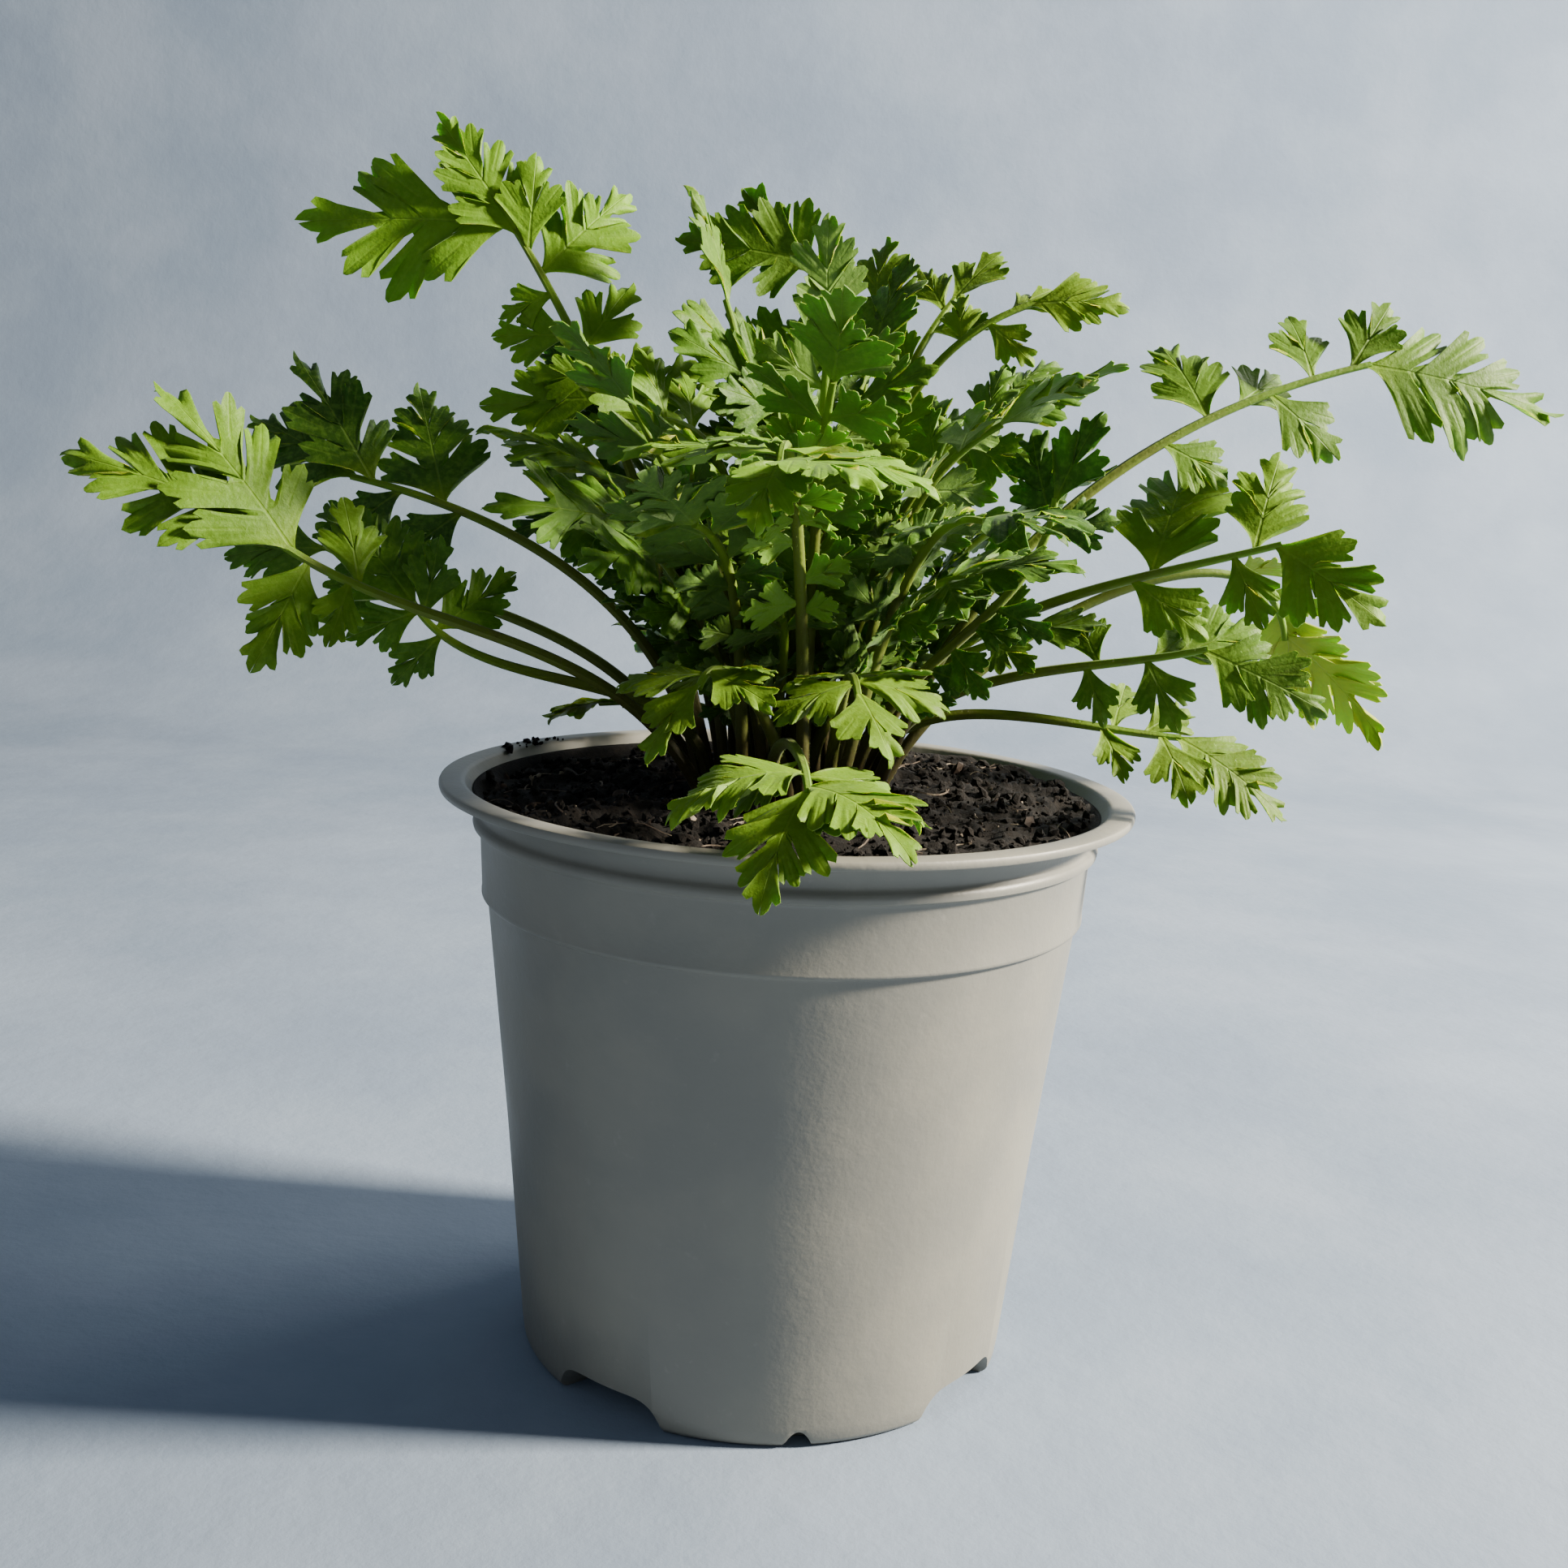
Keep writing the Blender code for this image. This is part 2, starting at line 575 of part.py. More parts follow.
def stalk_obstacle(route, azimuth, roll):
    radii = np.array(buried_radii()[1:])
    solid = tube(route, radii, azimuth, roll)
    return Obstacle(solid, tube(route, radii + 2 * LEAF_CLEARANCE, azimuth, roll))


def pot_obstacle():
    """A turned skin about a millimetre outside the pot and above the compost."""
    skin = (
        (0.0, SOIL_HEIGHT + 3.5), (52.0, SOIL_HEIGHT + 3.5), (58.8, POT_HEIGHT + 0.9),
        (RIM_RADIUS + 0.9, POT_HEIGHT + 0.9), (RIM_RADIUS + 0.9, POT_HEIGHT - 4.0),
        (COLLAR_RADIUS + 1.0, LEDGE_HEIGHT - 1.5), (BASE_RADIUS + 1.0, 0.0),
    )
    points, faces = lathe(skin, 24)
    solid = np.array(points), faces[: 24 * (len(skin) - 1)]
    return Obstacle(solid, solid)


def lobe_table(length, draw):
    """Lobes of one leaflet, each side a little different."""
    limits = (SMALL_LEAFLET, LARGE_LEAFLET, LARGEST_LEAFLET)
    tables = (SMALL_LOBES, THREE_LOBES, FIVE_LOBES, SEVEN_LOBES)
    table = tables[sum(length >= limit for limit in limits)]
    return tuple(
        (share, (width * draw.uniform(0.88, 1.12), width * draw.uniform(0.88, 1.12)))
        for share, width in table
    )


def in_order(leaves):
    """Every leaf's name with one of its leaflets: the end leaflets first, then the others."""
    for name, leaf in leaves.items():
        yield name, leaf[6][0]
    for name, leaf in leaves.items():
        for wanted in leaf[6][1:]:
            yield name, wanted


def place_leaflets(leaves, routes):
    """The blades of every leaf, each turned, lifted or shortened until it is clear of the rest."""
    pot = pot_obstacle()
    stalks = {
        name: stalk_obstacle(route, leaves[name][0], leaves[name][5])
        for name, route in routes.items()
    }
    placed = []
    blades = {name: [] for name in leaves}

    def is_clear(name, whole, outer):
        if whole.near(pot):
            return False
        if any((outer if owner == name else whole).near(s) for owner, s in stalks.items()):
            return False
        for owner, other, other_outer in placed:
            if owner != name and whole.near(other):
                return False
            if owner == name and (outer.near(other) or whole.near(other_outer)):
                return False
        return True

    draw = np.random.default_rng(100)
    for name, (share, length, angle) in in_order(leaves):
        azimuth, roll = leaves[name][0], leaves[name][5]
        base, along = on_route(routes[name], share)
        if share == 1.0:
            base = base - END_SUNK * along
        left, face = leaf_frame(along, azimuth, roll)
        lobes = lobe_table(length, draw)
        droop = draw.uniform(14, 34) if name != "over_rim" else draw.uniform(45, 60)
        lift = draw.uniform(-6, 8)
        for turn, raised, size in ESCAPES:
            if length * size < SHORTEST_LEAFLET:
                continue
            form = (
                base, along, left, face, length * size, angle + turn, lift + raised, droop, lobes)
            blade = leaflet(*form)
            thick = leaflet(*form, BLADE + 2 * LEAF_CLEARANCE)
            whole = Obstacle(blade, thick)
            outer = Obstacle(outer_part(*blade), outer_part(*thick))
            if is_clear(name, whole, outer):
                placed.append((name, whole, outer))
                blades[name].append(blade)
                break
    return blades


def all_leaves():
    """The table's leaves and those of the rings, turned into one table of the same form."""
    leaves = dict(LEAVES)
    draw = np.random.default_rng(7)
    for ring, values in RINGS.items():
        count, first, step, reach, height, foot_slope, end_slope, size, number = values
        for k in range(count):
            azimuth = first + step * k + draw.uniform(-8, 8)
            leaflets = tuple(
                (share, size * part * draw.uniform(0.9, 1.1), angle + draw.uniform(-7, 7))
                for share, part, angle in RING_LEAFLETS[:number]
            )
            leaves[f"{ring}_{k + 1}"] = (
                azimuth % 360, reach * draw.uniform(0.9, 1.1), height * draw.uniform(0.93, 1.07),
                foot_slope, end_slope + draw.uniform(-28, 14), draw.uniform(-35, 35), leaflets)
    return leaves


def build_leaf(name, leaf, route, blades, finish):
    """One leaf as one solid: its stalk joined with its blades."""
    stalk = tube(buried(route, STALK_BURIED), buried_radii(), leaf[0], leaf[5])
    leaf = outward(mesh_object("leaf_" + name, *stalk, finish))
    pieces = [outward(mesh_object(f"blade_{k}", *blade)) for k, blade in enumerate(blades)]
    combine(leaf, pieces, "UNION")
    leaf.data.shade_smooth()
    leaf.data.set_sharp_from_angle(angle=math.radians(35))
    return leaf


def main():
    clear_scene()
    leaves = all_leaves()
    routes = choose_routes(leaves)
    blades = place_leaflets(leaves, routes)
    build_pot()
    build_soil([
        build_hole(name, route, leaves[name][0], leaves[name][5])
        for name, route in routes.items()
    ])
    green = material("leaf_green", (0.09, 0.2, 0.03), 0.6)
    for name in leaves:
        build_leaf(name, leaves[name], routes[name], blades[name], green)


main()
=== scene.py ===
"""Potted feverfew: the finished look of the plant, its compost and its nursery pot.

Everything is in metres in the part's own frame: the origin is on the pot's axis on the surface
that it stands on, with X to the right, Y to the back and Z up. Sizes that a section gives in
millimetres are turned into metres by MM.
"""

import itertools
import math

import bpy
import numpy as np
from mathutils import Matrix, Vector, noise
from mathutils.bvhtree import BVHTree


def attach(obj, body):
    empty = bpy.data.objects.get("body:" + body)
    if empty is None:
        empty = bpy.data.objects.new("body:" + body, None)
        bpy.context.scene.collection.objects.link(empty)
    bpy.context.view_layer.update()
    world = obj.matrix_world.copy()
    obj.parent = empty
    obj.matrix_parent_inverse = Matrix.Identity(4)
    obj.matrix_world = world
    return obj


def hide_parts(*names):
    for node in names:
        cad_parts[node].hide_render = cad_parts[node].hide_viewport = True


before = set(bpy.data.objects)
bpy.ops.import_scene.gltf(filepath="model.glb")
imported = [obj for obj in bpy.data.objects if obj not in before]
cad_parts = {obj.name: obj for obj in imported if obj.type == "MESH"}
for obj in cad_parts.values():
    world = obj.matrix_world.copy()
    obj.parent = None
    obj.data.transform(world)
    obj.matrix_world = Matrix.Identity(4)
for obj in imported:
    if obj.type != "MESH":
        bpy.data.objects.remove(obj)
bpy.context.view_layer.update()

MM = 0.001
bpy.ops.object.select_all(action="DESELECT")

# Camera
# It looks at the pot from the front and a little above, and leans by about three degrees, as
# the photograph does. The lens gives 1932 pixels across a view of 48 degrees.

CAMERA_PLACE = Vector((0.0, -0.331, 0.171))
LOOK_DOWN = math.radians(10.48)
LOOK_SIDE = math.radians(-0.12)
LEAN = math.radians(2.94)
LENS = 40.75

ahead = Vector((
    math.sin(LOOK_SIDE) * math.cos(LOOK_DOWN), math.cos(LOOK_SIDE) * math.cos(LOOK_DOWN),
    -math.sin(LOOK_DOWN)))
level = Vector((math.cos(LOOK_SIDE), -math.sin(LOOK_SIDE), 0.0))
above = level.cross(ahead)
right = math.cos(LEAN) * level + math.sin(LEAN) * above
up = math.cos(LEAN) * above - math.sin(LEAN) * level
bpy.ops.object.camera_add()
camera = bpy.context.object
camera.name = "photo_camera"
camera.matrix_world = Matrix((
    (right.x, up.x, -ahead.x, CAMERA_PLACE.x),
    (right.y, up.y, -ahead.y, CAMERA_PLACE.y),
    (right.z, up.z, -ahead.z, CAMERA_PLACE.z),
    (0.0, 0.0, 0.0, 1.0)))
camera.data.lens = LENS
camera.data.sensor_width = 36.0
camera.data.clip_start = 0.01
bpy.context.scene.camera = camera

# Pot
# A nursery pot, moulded in one piece from mid-grey polypropylene about a millimetre thick. It
# has a thin flat rim, a ledge and an upright collar under it, a step, and a tapering body. Four
# wide pockets and four narrow grooves cut its bottom corner, and four drain holes its floor.

POT_HEIGHT = 110.0
RIM_RADIUS = 65.0
BASE_RADIUS = 47.0
POT_SIDES = 192
# radius and height, from the flat underside up the outer wall, over the rim and down inside
POT_PROFILE = (
    (30.0, 0.0), (45.1, 0.0), (45.9, 0.25), (46.5, 0.8), (46.9, 1.5), (47.25, 4.0), (51.0, 44.0),
    (55.65, 87.4), (55.75, 87.95), (56.1, 88.2), (56.6, 88.35), (56.85, 88.65), (56.85, 89.1),
    (56.75, 89.7), (57.3, 100.2), (57.5, 100.8), (58.1, 101.05), (58.6, 101.4), (58.75, 102.0),
    (58.65, 102.6), (58.25, 103.1), (57.85, 103.4), (57.7, 103.9), (57.85, 104.9), (58.3, 106.2),
    (59.2, 107.2), (60.6, 107.85), (62.6, 108.1), (64.3, 108.2), (64.85, 108.45), (65.0, 108.9),
    (65.0, 109.4), (64.8, 109.8), (64.3, 109.98), (61.2, 110.0), (60.5, 109.85), (60.1, 109.4),
    (59.5, 108.6), (58.6, 107.6), (57.4, 106.1), (56.8, 104.6), (56.3, 101.6), (54.6, 88.0),
    (46.4, 8.6), (36.0, 2.0), (30.0, 2.0),
)
POCKET_AZIMUTHS = (54.5, 144.5, 234.5, 324.5)
GROOVE_AZIMUTHS = (9.5, 99.5, 189.5, 279.5)
DRAIN_RADIUS = 3.5
DRAIN_REACH = 30.0
# width of a cut in degrees, its height and depth, how much lower it is at its ends, how square
# its ends are, and its steps
POCKET_CUT = (30.0, 6.0, 8.0, 0.85, 6, 40)
GROOVE_CUT = (6.4, 3.4, 4.5, 0.85, 2, 16)
DRAIN_CUT_DEPTH = 8.0
EDGE_SOFTNESS = 0.35

bpy.ops.mesh.primitive_circle_add(
    vertices=POT_SIDES, radius=POT_PROFILE[0][0] * MM, fill_type="NGON", location=(0, 0, 0))
pot = bpy.context.object
pot.name = "pot_shell"
bpy.ops.object.mode_set(mode="EDIT")
bpy.ops.mesh.select_all(action="SELECT")
for (radius, height), (wider, higher) in zip(POT_PROFILE, POT_PROFILE[1:]):
    scale = wider / radius
    bpy.ops.mesh.extrude_region_move(
        TRANSFORM_OT_translate={"value": (0, 0, (higher - height) * MM)})
    bpy.ops.transform.resize(value=(scale, scale, 1), center_override=(0, 0, higher * MM))
bpy.ops.mesh.select_all(action="SELECT")
bpy.ops.mesh.normals_make_consistent(inside=False)
bpy.ops.object.mode_set(mode="OBJECT")


def corner_cutter(azimuth, width, height, depth, ends, power, steps):
    """A wedge-shaped tool that cuts one recess into the pot's bottom corner."""
    section = (
        (BASE_RADIUS + 4.0, -1.0), (BASE_RADIUS + 4.0, height), (BASE_RADIUS - 1.0, height),
        (BASE_RADIUS - 0.55 * depth, 0.72 * height), (BASE_RADIUS - depth, 0.4),
        (BASE_RADIUS - depth, -1.0))
    points, faces, size = [], [], len(section)
    for k in range(steps + 1):
        share = k / steps
        turn = math.radians(azimuth + width * (share - 0.5))
        crown = 1.0 - ends * abs(2 * share - 1) ** power
        for radius, z in section:
            z = z * crown if z > 0 else z
            points.append((radius * math.cos(turn) * MM, radius * math.sin(turn) * MM, z * MM))
    for k in range(steps):
        for i in range(size):
            j = (i + 1) % size
            faces.append((k * size + i, (k + 1) * size + i, (k + 1) * size + j, k * size + j))
    faces.append(tuple(range(size)))
    faces.append(tuple(reversed(range(steps * size, (steps + 1) * size))))
    mesh = bpy.data.meshes.new("corner_cutter")
    mesh.from_pydata(points, [], faces)
    cutter = bpy.data.objects.new("corner_cutter", mesh)
    bpy.context.scene.collection.objects.link(cutter)
    return cutter


cutters = [corner_cutter(azimuth, *POCKET_CUT) for azimuth in POCKET_AZIMUTHS]
cutters += [corner_cutter(azimuth, *GROOVE_CUT) for azimuth in GROOVE_AZIMUTHS]
for azimuth in GROOVE_AZIMUTHS:
    turn, reach = math.radians(azimuth), DRAIN_REACH * MM
    bpy.ops.mesh.primitive_cylinder_add(
        vertices=32, radius=DRAIN_RADIUS * MM, depth=DRAIN_CUT_DEPTH * MM,
        location=(reach * math.cos(turn), reach * math.sin(turn), 0))
    cutters.append(bpy.context.object)
tools = bpy.data.collections.new("corner_tools")
for cutter in cutters:
    bpy.context.view_layer.objects.active = cutter
    cutter.select_set(True)
    bpy.context.scene.collection.objects.unlink(cutter)
    tools.objects.link(cutter)
bpy.context.view_layer.objects.active = pot
cut = pot.modifiers.new("Corner cuts", "BOOLEAN")
cut.operation = "DIFFERENCE"
cut.operand_type = "COLLECTION"
cut.collection = tools
soften = pot.modifiers.new("Soft edges", "BEVEL")
soften.width = EDGE_SOFTNESS * MM
soften.segments = 2
soften.limit_method = "ANGLE"
soften.angle_limit = math.radians(42)
for step in ("Corner cuts", "Soft edges"):
    bpy.ops.object.modifier_apply(modifier=step)
for cutter in cutters:
    bpy.data.objects.remove(cutter, do_unlink=True)
bpy.data.collections.remove(tools)
pot.select_set(True)
bpy.ops.object.shade_smooth_by_angle(angle=math.radians(40))
pot.select_set(False)


def new_material(name, base, roughness):
    """A material with a Principled shader, and its shader and node tree."""
    made = bpy.data.materials.new(name)
    made.use_nodes = True
    shader = made.node_tree.nodes["Principled BSDF"]
    shader.inputs["Base Color"].default_value = (*base, 1.0)
    shader.inputs["Roughness"].default_value = roughness
    return made, shader, made.node_tree


def put(tree, kind, inputs=(), **settings):
    """A new node. Each input is a value or another node's socket."""
    made = tree.nodes.new(kind)
    for name, value in settings.items():
        setattr(made, name, value)
    for name, value in dict(inputs).items():
        if isinstance(value, bpy.types.NodeSocket):
            tree.links.new(value, made.inputs[name])
        else:
            made.inputs[name].default_value = value
    return made


def blend_colours(tree, share, first, second):
    """A colour between two others, by a share from 0 to 1."""
    made = tree.nodes.new("ShaderNodeMix")
    made.data_type = "RGBA"
    for index, value in ((0, share), (6, first), (7, second)):
        if isinstance(value, bpy.types.NodeSocket):
            tree.links.new(value, made.inputs[index])
        else:
            made.inputs[index].default_value = value if index == 0 else (*value, 1.0)
    return made.outputs[2]


def ramp(tree, value, low, high):
    """A smooth step of a value from 0 at low to 1 at high."""
    made = put(
        tree, "ShaderNodeMapRange",
        {"Value": value, "From Min": low, "From Max": high}, interpolation_type="SMOOTHSTEP")
    return made.outputs["Result"]


def cloud(tree, place, scale, detail=4.0, roughness=0.55):
    """Soft irregular patches of the given scale, about 0 to 1."""
    return put(tree, "ShaderNodeTexNoise", {
        "Vector": place, "Scale": scale, "Detail": detail, "Roughness": roughness}).outputs["Fac"]


def times(tree, first, second):
    """The product of two values."""
    return put(
        tree, "ShaderNodeMath", {0: first, 1: second}, operation="MULTIPLY").outputs[0]


pot_plastic, shader, tree = new_material("pot_plastic", (0.200, 0.196, 0.168), 0.5)
place = put(tree, "ShaderNodeTexCoord").outputs["Object"]
mottle = ramp(tree, cloud(tree, place, 38.0, 5.0), 0.35, 0.7)
dust = ramp(tree, cloud(tree, place, 260.0, 3.0, 0.7), 0.62, 0.76)
base = blend_colours(tree, mottle, (0.184, 0.182, 0.158), (0.222, 0.216, 0.182))
base = blend_colours(tree, times(tree, dust, 0.35), base, (0.26, 0.255, 0.225))
tree.links.new(base, shader.inputs["Base Color"])
rough = put(tree, "ShaderNodeMapRange", {"Value": mottle, "To Min": 0.42, "To Max": 0.56})
tree.links.new(rough.outputs["Result"], shader.inputs["Roughness"])
grain = cloud(tree, place, 1500.0, 3.0, 0.6)
orange_peel = cloud(tree, place, 420.0, 2.0)
bump = put(tree, "ShaderNodeBump", {
    "Height": grain, "Strength": 0.22, "Distance": 0.15 * MM})
bump = put(tree, "ShaderNodeBump", {
    "Height": orange_peel, "Strength": 0.3, "Distance": 0.25 * MM,
    "Normal": bump.outputs["Normal"]})
tree.links.new(bump.outputs["Normal"], shader.inputs["Normal"])
shader.inputs["Specular IOR Level"].default_value = 0.45

pot.data.materials.clear()
pot.data.materials.append(pot_plastic)
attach(pot, "root")
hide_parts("pot")

# Compost
# Damp peat and fine bark, filled to two or three millimetres under the rim. Its loose surface is
# a crumbly skin over a body that fills the pot, a little higher at the back right.

SOIL_HEIGHT = 107.5
SOIL_MOUND = 1.2
SOIL_LUMP = 0.7
SOIL_TURNS = 220
SOIL_RINGS = 78
# radius and height of the body under the skin, from its edge down to its underside
SOIL_BODY = (
    (58.8, 108.1), (58.0, 107.3), (57.0, 106.0), (56.4, 104.4), (56.0, 101.6), (54.3, 88.0),
    (46.1, 9.0), (35.6, 2.3))

# the compost near the wall lies above these heights, at these distances from the axis
WALL_RISE = ((56.0, 56.6, 57.4, 58.2, 58.8), (103.0, 105.4, 107.0, 107.8, 108.1))


def soil_level(x, y):
    """The compost's surface without its crumbs, in millimetres."""
    reach = math.hypot(x, y)
    mound = SOIL_MOUND * math.cos(math.pi * min(reach / 56.0, 1.0))
    lumps = math.sin(0.31 * x + 1.0) * math.cos(0.27 * y) + 0.6 * math.sin(0.17 * x - 0.36 * y)
    back = 3.0 * max(0.0, (x + y) / 80.0) ** 2
    return SOIL_HEIGHT + mound + SOIL_LUMP * lumps * min(reach / 14.0, 1.0) + back


def crumbly(x, y):
    """Height of the loose crumbs over the compost's surface, in millimetres."""
    spot = Vector((x * 0.22, y * 0.22, 3.0))
    rough = noise.fractal(spot, 0.7, 2.1, 5)
    holes = noise.voronoi(Vector((x * 0.35, y * 0.35, 1.0)))[0][0]
    return 1.15 * rough - 1.1 * max(0.0, 0.42 - holes) + 0.25 * noise.noise(spot * 9.0)


def mesh_piece(name, points, faces, material):
    """A new object from points in millimetres, with its material."""
    mesh = bpy.data.meshes.new(name)
    mesh.from_pydata((np.asarray(points) * MM).tolist(), [], faces)
    mesh.materials.append(material)
    piece = bpy.data.objects.new(name, mesh)
    bpy.context.scene.collection.objects.link(piece)
    return piece


points = [(0.0, 0.0, soil_level(0.0, 0.0))]
for ring in range(1, SOIL_RINGS + 1):
    reach = SOIL_BODY[0][0] * (ring / SOIL_RINGS) ** 0.85
    for k in range(SOIL_TURNS):
        turn = 2 * math.pi * (k + 0.5 * (ring % 2)) / SOIL_TURNS
        x, y = reach * math.cos(turn), reach * math.sin(turn)
        edge = min(1.0, (SOIL_BODY[0][0] - reach) / 1.2)
        lowest = np.interp(reach, *WALL_RISE)
        z = max(soil_level(x, y) + crumbly(x, y) * edge, lowest)
        points.append((x, y, z if ring < SOIL_RINGS else SOIL_BODY[0][1]))
for radius, height in SOIL_BODY[1:]:
    for k in range(SOIL_TURNS):
        turn = 2 * math.pi * k / SOIL_TURNS
        points.append((radius * math.cos(turn), radius * math.sin(turn), height))
rows = SOIL_RINGS + len(SOIL_BODY) - 1
faces = [(0, 1 + k, 1 + (k + 1) % SOIL_TURNS) for k in range(SOIL_TURNS)]
for row in range(rows - 1):
    for k in range(SOIL_TURNS):
        near, far, after = 1 + row * SOIL_TURNS, 1 + (row + 1) * SOIL_TURNS, (k + 1) % SOIL_TURNS
        faces.append((near + k, far + k, far + after, near + after))
faces.append(tuple(reversed(range(1 + (rows - 1) * SOIL_TURNS, 1 + rows * SOIL_TURNS))))

peat, shader, tree = new_material("peat", (0.016, 0.011, 0.008), 0.9)
place = put(tree, "ShaderNodeTexCoord").outputs["Object"]
coarse = ramp(tree, cloud(tree, place, 210.0, 5.0, 0.7), 0.38, 0.72)
fine = ramp(tree, cloud(tree, place, 900.0, 3.0, 0.7), 0.5, 0.75)
base = blend_colours(tree, coarse, (0.0022, 0.0017, 0.0013), (0.0080, 0.0056, 0.0037))
base = blend_colours(tree, times(tree, fine, 0.25), base, (0.038, 0.024, 0.014))
tree.links.new(base, shader.inputs["Base Color"])
bump = put(tree, "ShaderNodeBump", {
    "Height": cloud(tree, place, 1300.0, 4.0, 0.75), "Strength": 0.9, "Distance": 0.5 * MM})
tree.links.new(bump.outputs["Normal"], shader.inputs["Normal"])
shader.inputs["Specular IOR Level"].default_value = 0.25

soil = mesh_piece("compost_body", points, faces, peat)
soil.data.shade_smooth()
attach(soil, "root")
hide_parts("soil")

# Loose crumbs, bark, fibres and grit
# What lies on top of the compost: crumbs of peat, brown bark chips, thin pale root fibres and
# a few grains of light grit. Some crumbs lie on the rim at the left, where the pot was filled.

CRUMBS = 3000
CHIPS = 80
GRAINS = 70
FIBRES = 90
RIM_CRUMBS = 26
RIM_CRUMBS_AZIMUTH = 150
COMPOST_REACH = 56.8
FIBRE_REACH = 56.5
FIBRE_POINTS = 9


def pebble(draw, size, squash):
    """Corners of one small irregular lump about the origin, in millimetres."""
    stretch = np.array((1.0, draw.uniform(0.55, 1.0), draw.uniform(*squash)))
    shape = ball_points * (1 + draw.uniform(-0.3, 0.3, (len(ball_points), 1))) * stretch * size / 2
    turn = draw.uniform(0, 2 * math.pi, 3)
    for axis, angle in enumerate(turn):
        # a lump lies nearly level, turned any way round
        tilt = angle * (1.0 if axis == 2 else 0.2)
        a, b = [(1, 2), (2, 0), (0, 1)][axis]
        first, second = shape[:, a].copy(), shape[:, b].copy()
        shape[:, a] = math.cos(tilt) * first - math.sin(tilt) * second
        shape[:, b] = math.sin(tilt) * first + math.cos(tilt) * second
    return shape


def scatter(name, count, sizes, squash, sink, material, seed, more=()):
    """Many small lumps that lie on the compost, and more at given places, as one piece."""
    draw = np.random.default_rng(seed)
    all_points, all_faces = [], []
    places = []
    for _ in range(count):
        reach = COMPOST_REACH * math.sqrt(draw.uniform(0.01, 1))
        turn = draw.uniform(0, 2 * math.pi)
        x, y = reach * math.cos(turn), reach * math.sin(turn)
        places.append((x, y, soil_level(x, y) + crumbly(x, y)))
    places += list(more)
    for x, y, z in places:
        size = sizes[0] + (sizes[1] - sizes[0]) * draw.uniform() ** 3
        shape = pebble(draw, size, squash)
        start = len(all_points) * len(ball_points)
        all_points.append(shape + np.array((x, y, z + size * sink)))
        all_faces += [tuple(start + corner for corner in face) for face in ball_faces]
    piece = mesh_piece(name, np.vstack(all_points), all_faces, material)
    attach(piece, "root")
    return piece


bpy.ops.mesh.primitive_ico_sphere_add(subdivisions=1, radius=1.0, location=(0, 0, 0))
ball = bpy.context.object
ball_points = np.array([vertex.co for vertex in ball.data.vertices])
ball_faces = [tuple(face.vertices) for face in ball.data.polygons]
bpy.data.objects.remove(ball, do_unlink=True)

bark, shader, tree = new_material("bark_chips", (0.06, 0.032, 0.018), 0.85)
place = put(tree, "ShaderNodeTexCoord").outputs["Object"]
base = blend_colours(
    tree, ramp(tree, cloud(tree, place, 160.0), 0.35, 0.7),
    (0.010, 0.006, 0.0035), (0.050, 0.027, 0.014))
tree.links.new(base, shader.inputs["Base Color"])
grit, shader, tree = new_material("grit", (0.2, 0.17, 0.13), 0.8)
place = put(tree, "ShaderNodeTexCoord").outputs["Object"]
base = blend_colours(
    tree, ramp(tree, cloud(tree, place, 300.0), 0.4, 0.7), (0.07, 0.048, 0.032), (0.20, 0.17, 0.12))
tree.links.new(base, shader.inputs["Base Color"])

rim_draw = np.random.default_rng(41)
rim_crumbs = []
for _ in range(RIM_CRUMBS):
    turn = math.radians(RIM_CRUMBS_AZIMUTH + rim_draw.normal(0, 5))
    reach = rim_draw.uniform(59.0, 63.5)
    rim_crumbs.append((reach * math.cos(turn), reach * math.sin(turn), POT_HEIGHT))
scatter("peat_crumbs", CRUMBS, (0.5, 3.0), (0.5, 1.0), 0.12, peat, 11, rim_crumbs)
scatter("bark_pieces", CHIPS, (1.0, 4.8), (0.2, 0.5), 0.12, bark, 12)
scatter("grit_grains", GRAINS, (0.5, 1.8), (0.6, 1.0), 0.2, grit, 13)

fibre_draw = np.random.default_rng(14)
points, faces = [], []
for _ in range(FIBRES):
    reach, turn = 55.0 * math.sqrt(fibre_draw.uniform(0.02, 1)), fibre_draw.uniform(0, 2 * math.pi)
    x, y = reach * math.cos(turn), reach * math.sin(turn)
    course, bend = fibre_draw.uniform(0, 2 * math.pi), fibre_draw.uniform(-0.5, 0.5)
    thick, step = fibre_draw.uniform(0.07, 0.2), fibre_draw.uniform(0.5, 1.7)
    lift = fibre_draw.uniform(0.0, 0.5)
    last = FIBRE_POINTS - 1
    for k in range(FIBRE_POINTS):
        if math.hypot(x, y) < FIBRE_REACH:
            z = soil_level(x, y) + max(0.3, crumbly(x, y)) + lift * k * (last - k) / (2 * last)
        start = len(points)
        for n in range(3):
            angle = 2 * math.pi * n / 3
            points.append((
                x - thick * math.cos(angle) * math.sin(course),
                y + thick * math.cos(angle) * math.cos(course), z + thick * math.sin(angle)))
            if k:
                m = (n + 1) % 3
                faces.append((start - 3 + n, start - 3 + m, start + m, start + n))
        if k in (0, last):
            cap = (start, start + 1, start + 2)
            faces.append(cap if k else cap[::-1])
        x, y, course = x + step * math.cos(course), y + step * math.sin(course), course + bend
        if math.hypot(x, y) > FIBRE_REACH:
            course += 0.8
fibres = mesh_piece("root_fibres", points, faces, grit)
bpy.context.view_layer.objects.active = fibres
bpy.ops.object.mode_set(mode="EDIT")
bpy.ops.mesh.select_all(action="SELECT")
bpy.ops.mesh.normals_make_consistent(inside=False)
bpy.ops.object.mode_set(mode="OBJECT")
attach(fibres, "root")

